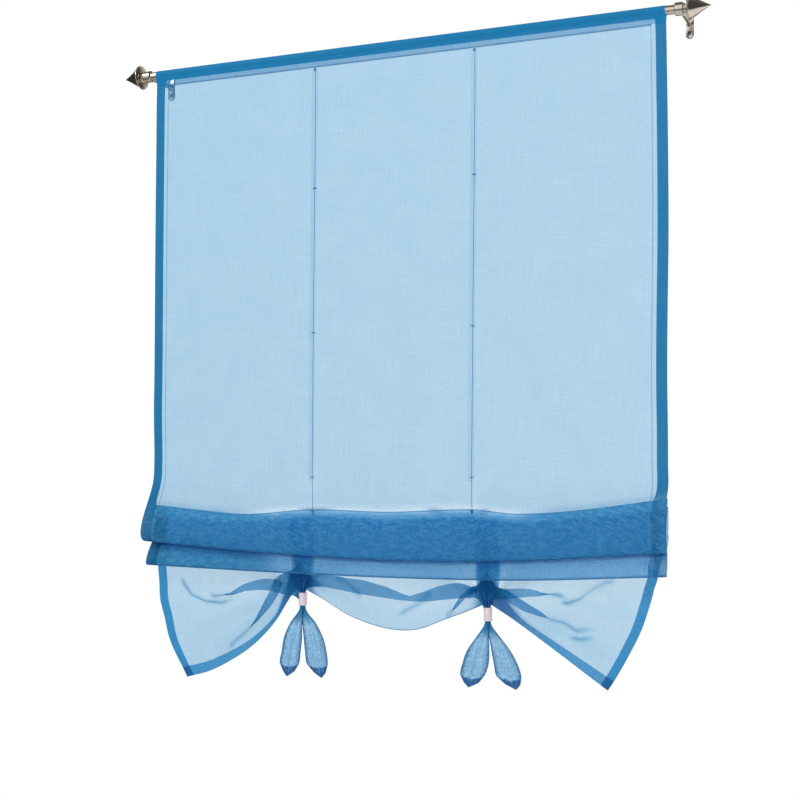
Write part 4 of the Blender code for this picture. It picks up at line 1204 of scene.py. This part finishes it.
def build_stage():
    """Pale floor, plain white round it, and dark flags that only reflections see."""
    bm = bmesh.new()
    bmesh.ops.create_circle(bm, cap_ends=True, segments=96, radius=FLOOR_RADIUS)
    mesh = bpy.data.meshes.new("pale_floor")
    bmesh.ops.translate(bm, verts=bm.verts, vec=(0, 0, FLOOR_Z))
    bm.to_mesh(mesh)
    bm.free()
    floor = bpy.data.objects.new("pale_floor", mesh)
    bpy.context.scene.collection.objects.link(floor)
    mesh.materials.append(mottled_finish("pale_floor_paint", 12, 3.0, (0.80, 0.80, 0.80, 1),
                                         (0.84, 0.84, 0.84, 1), {"Roughness": 0.8}))

    world = bpy.data.worlds.new("studio")
    bpy.context.scene.world = world
    world.use_nodes = True
    tree = world.node_tree
    tree.nodes.clear()
    path = wire(tree, "ShaderNodeLightPath").outputs
    seen = largest(tree, path["Is Camera Ray"], path["Is Glossy Ray"],
                   path["Is Transmission Ray"])
    right, _, upward = parts_of(tree, object_place(tree))

    def flag(value, clear, full, depth):
        """Dark flag that grows from 0 to its depth as the value goes from clear to full."""
        return wire(tree, "ShaderNodeMapRange", {"Value": value, "From Min": clear,
                                                 "From Max": full, "To Min": 0.0,
                                                 "To Max": depth}).outputs[0]

    ceiling = flag(upward, 0.66, 0.84, 0.85)
    left_wall = flag(right, -0.55, -0.80, 0.96)
    right_wall = times(tree, flag(right, 0.28, 0.60, 0.93), flag(upward, -0.56, -0.40, 1.0))
    low_front = times(tree, flag(right, 0.48, 0.30, 0.80), flag(upward, -0.14, -0.36, 1.0))
    dark = times(tree, largest(tree, ceiling, left_wall, right_wall, low_front),
                 path["Is Glossy Ray"])
    plain = wire(tree, "ShaderNodeBackground", {"Color": (1, 1, 1, 1), "Strength": 0.55})
    white = wire(tree, "ShaderNodeBackground",
                 {"Color": (1, 1, 1, 1), "Strength": one_less(tree, dark)})
    both = wire(tree, "ShaderNodeMixShader", {0: seen, 1: plain.outputs[0],
                                              2: white.outputs[0]})
    wire(tree, "ShaderNodeOutputWorld", {"Surface": both.outputs[0]})


def area_light(name, place, target, size, power, in_metal=False):
    """Round lamp that the camera doesn't see, and the metal only where in_metal says so."""
    light = bpy.data.lights.new(name, "AREA")
    light.shape = "DISK"
    light.size = size
    light.energy = power
    lamp = bpy.data.objects.new(name, light)
    lamp.location = place
    lamp.rotation_euler = (Vector(target) - Vector(place)).to_track_quat("-Z", "Y").to_euler()
    lamp.visible_camera = False
    lamp.visible_glossy = in_metal
    bpy.context.scene.collection.objects.link(lamp)


def build_lights():
    area_light("key_light", place=(-1.6, -2.2, 1.5), target=(0, 0, -0.5), size=1.4, power=46,
               in_metal=True)
    area_light("fill_light", place=(2.0, -2.2, 0.2), target=(0, 0, -0.6), size=1.8, power=20)
    area_light("back_light", place=(0.4, 2.2, 0.9), target=(0, 0, -0.5), size=1.8, power=38)


def build_camera():
    lens = bpy.data.cameras.new("camera")
    lens.lens = LENS
    lens.sensor_width = SENSOR_WIDTH
    lens.shift_y = SHIFT_UP
    camera = bpy.data.objects.new("camera", lens)
    camera.location = VIEW_PLACE
    camera.rotation_euler = (math.pi / 2, 0, VIEW_TURN)
    bpy.context.scene.collection.objects.link(camera)
    bpy.context.scene.camera = camera


build_camera()
bpy.context.scene.view_settings.view_transform = "Standard"
build_stage()
build_lights()

voile = cloth_finish()
ribbon_voile = ribbon_finish()
tape = tape_finish()
cord = cord_finish()
ring = ring_finish()
pearl = bead_finish()
nickel = metal_finish("polished_nickel", (0.56, 0.49, 0.41, 1), (0.74, 0.66, 0.56, 1), 0.17)
screw_steel = metal_finish("screw_nickel", (0.20, 0.17, 0.14, 1), (0.30, 0.26, 0.22, 1), 0.30)

cloth = build_cloth(voile)
ribbons = [build_ribbon("left", TIE_LEFT_X, TIE_LEFT_HEM, (LEFT_TAIL_FRONT, LEFT_TAIL_BACK),
                        ribbon_voile),
           build_ribbon("right", TIE_RIGHT_X, TIE_RIGHT_HEM,
                        (RIGHT_TAIL_FRONT, RIGHT_TAIL_BACK), ribbon_voile)]
build_bead("left", TIE_LEFT_X, TIE_LEFT_HEM, pearl)
build_bead("right", TIE_RIGHT_X, TIE_RIGHT_HEM, pearl)
for side_name, sign in (("left", -1), ("right", 1)):
    build_tape(side_name, tape)
    build_cord(side_name, sign * CORD_X, cord)
    for number in range(1, 5):
        build_ring("guide_ring_%s_%d" % (side_name, number), ring)
    build_ring("end_ring_" + side_name, ring)
    build_finial(side_name, sign, nickel)
    build_bracket(side_name, sign, nickel)
    for level in ("upper", "lower"):
        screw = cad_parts["screw_%s_%s" % (side_name, level)]
        screw.data.materials.clear()
        screw.data.materials.append(screw_steel)
build_rod(nickel)
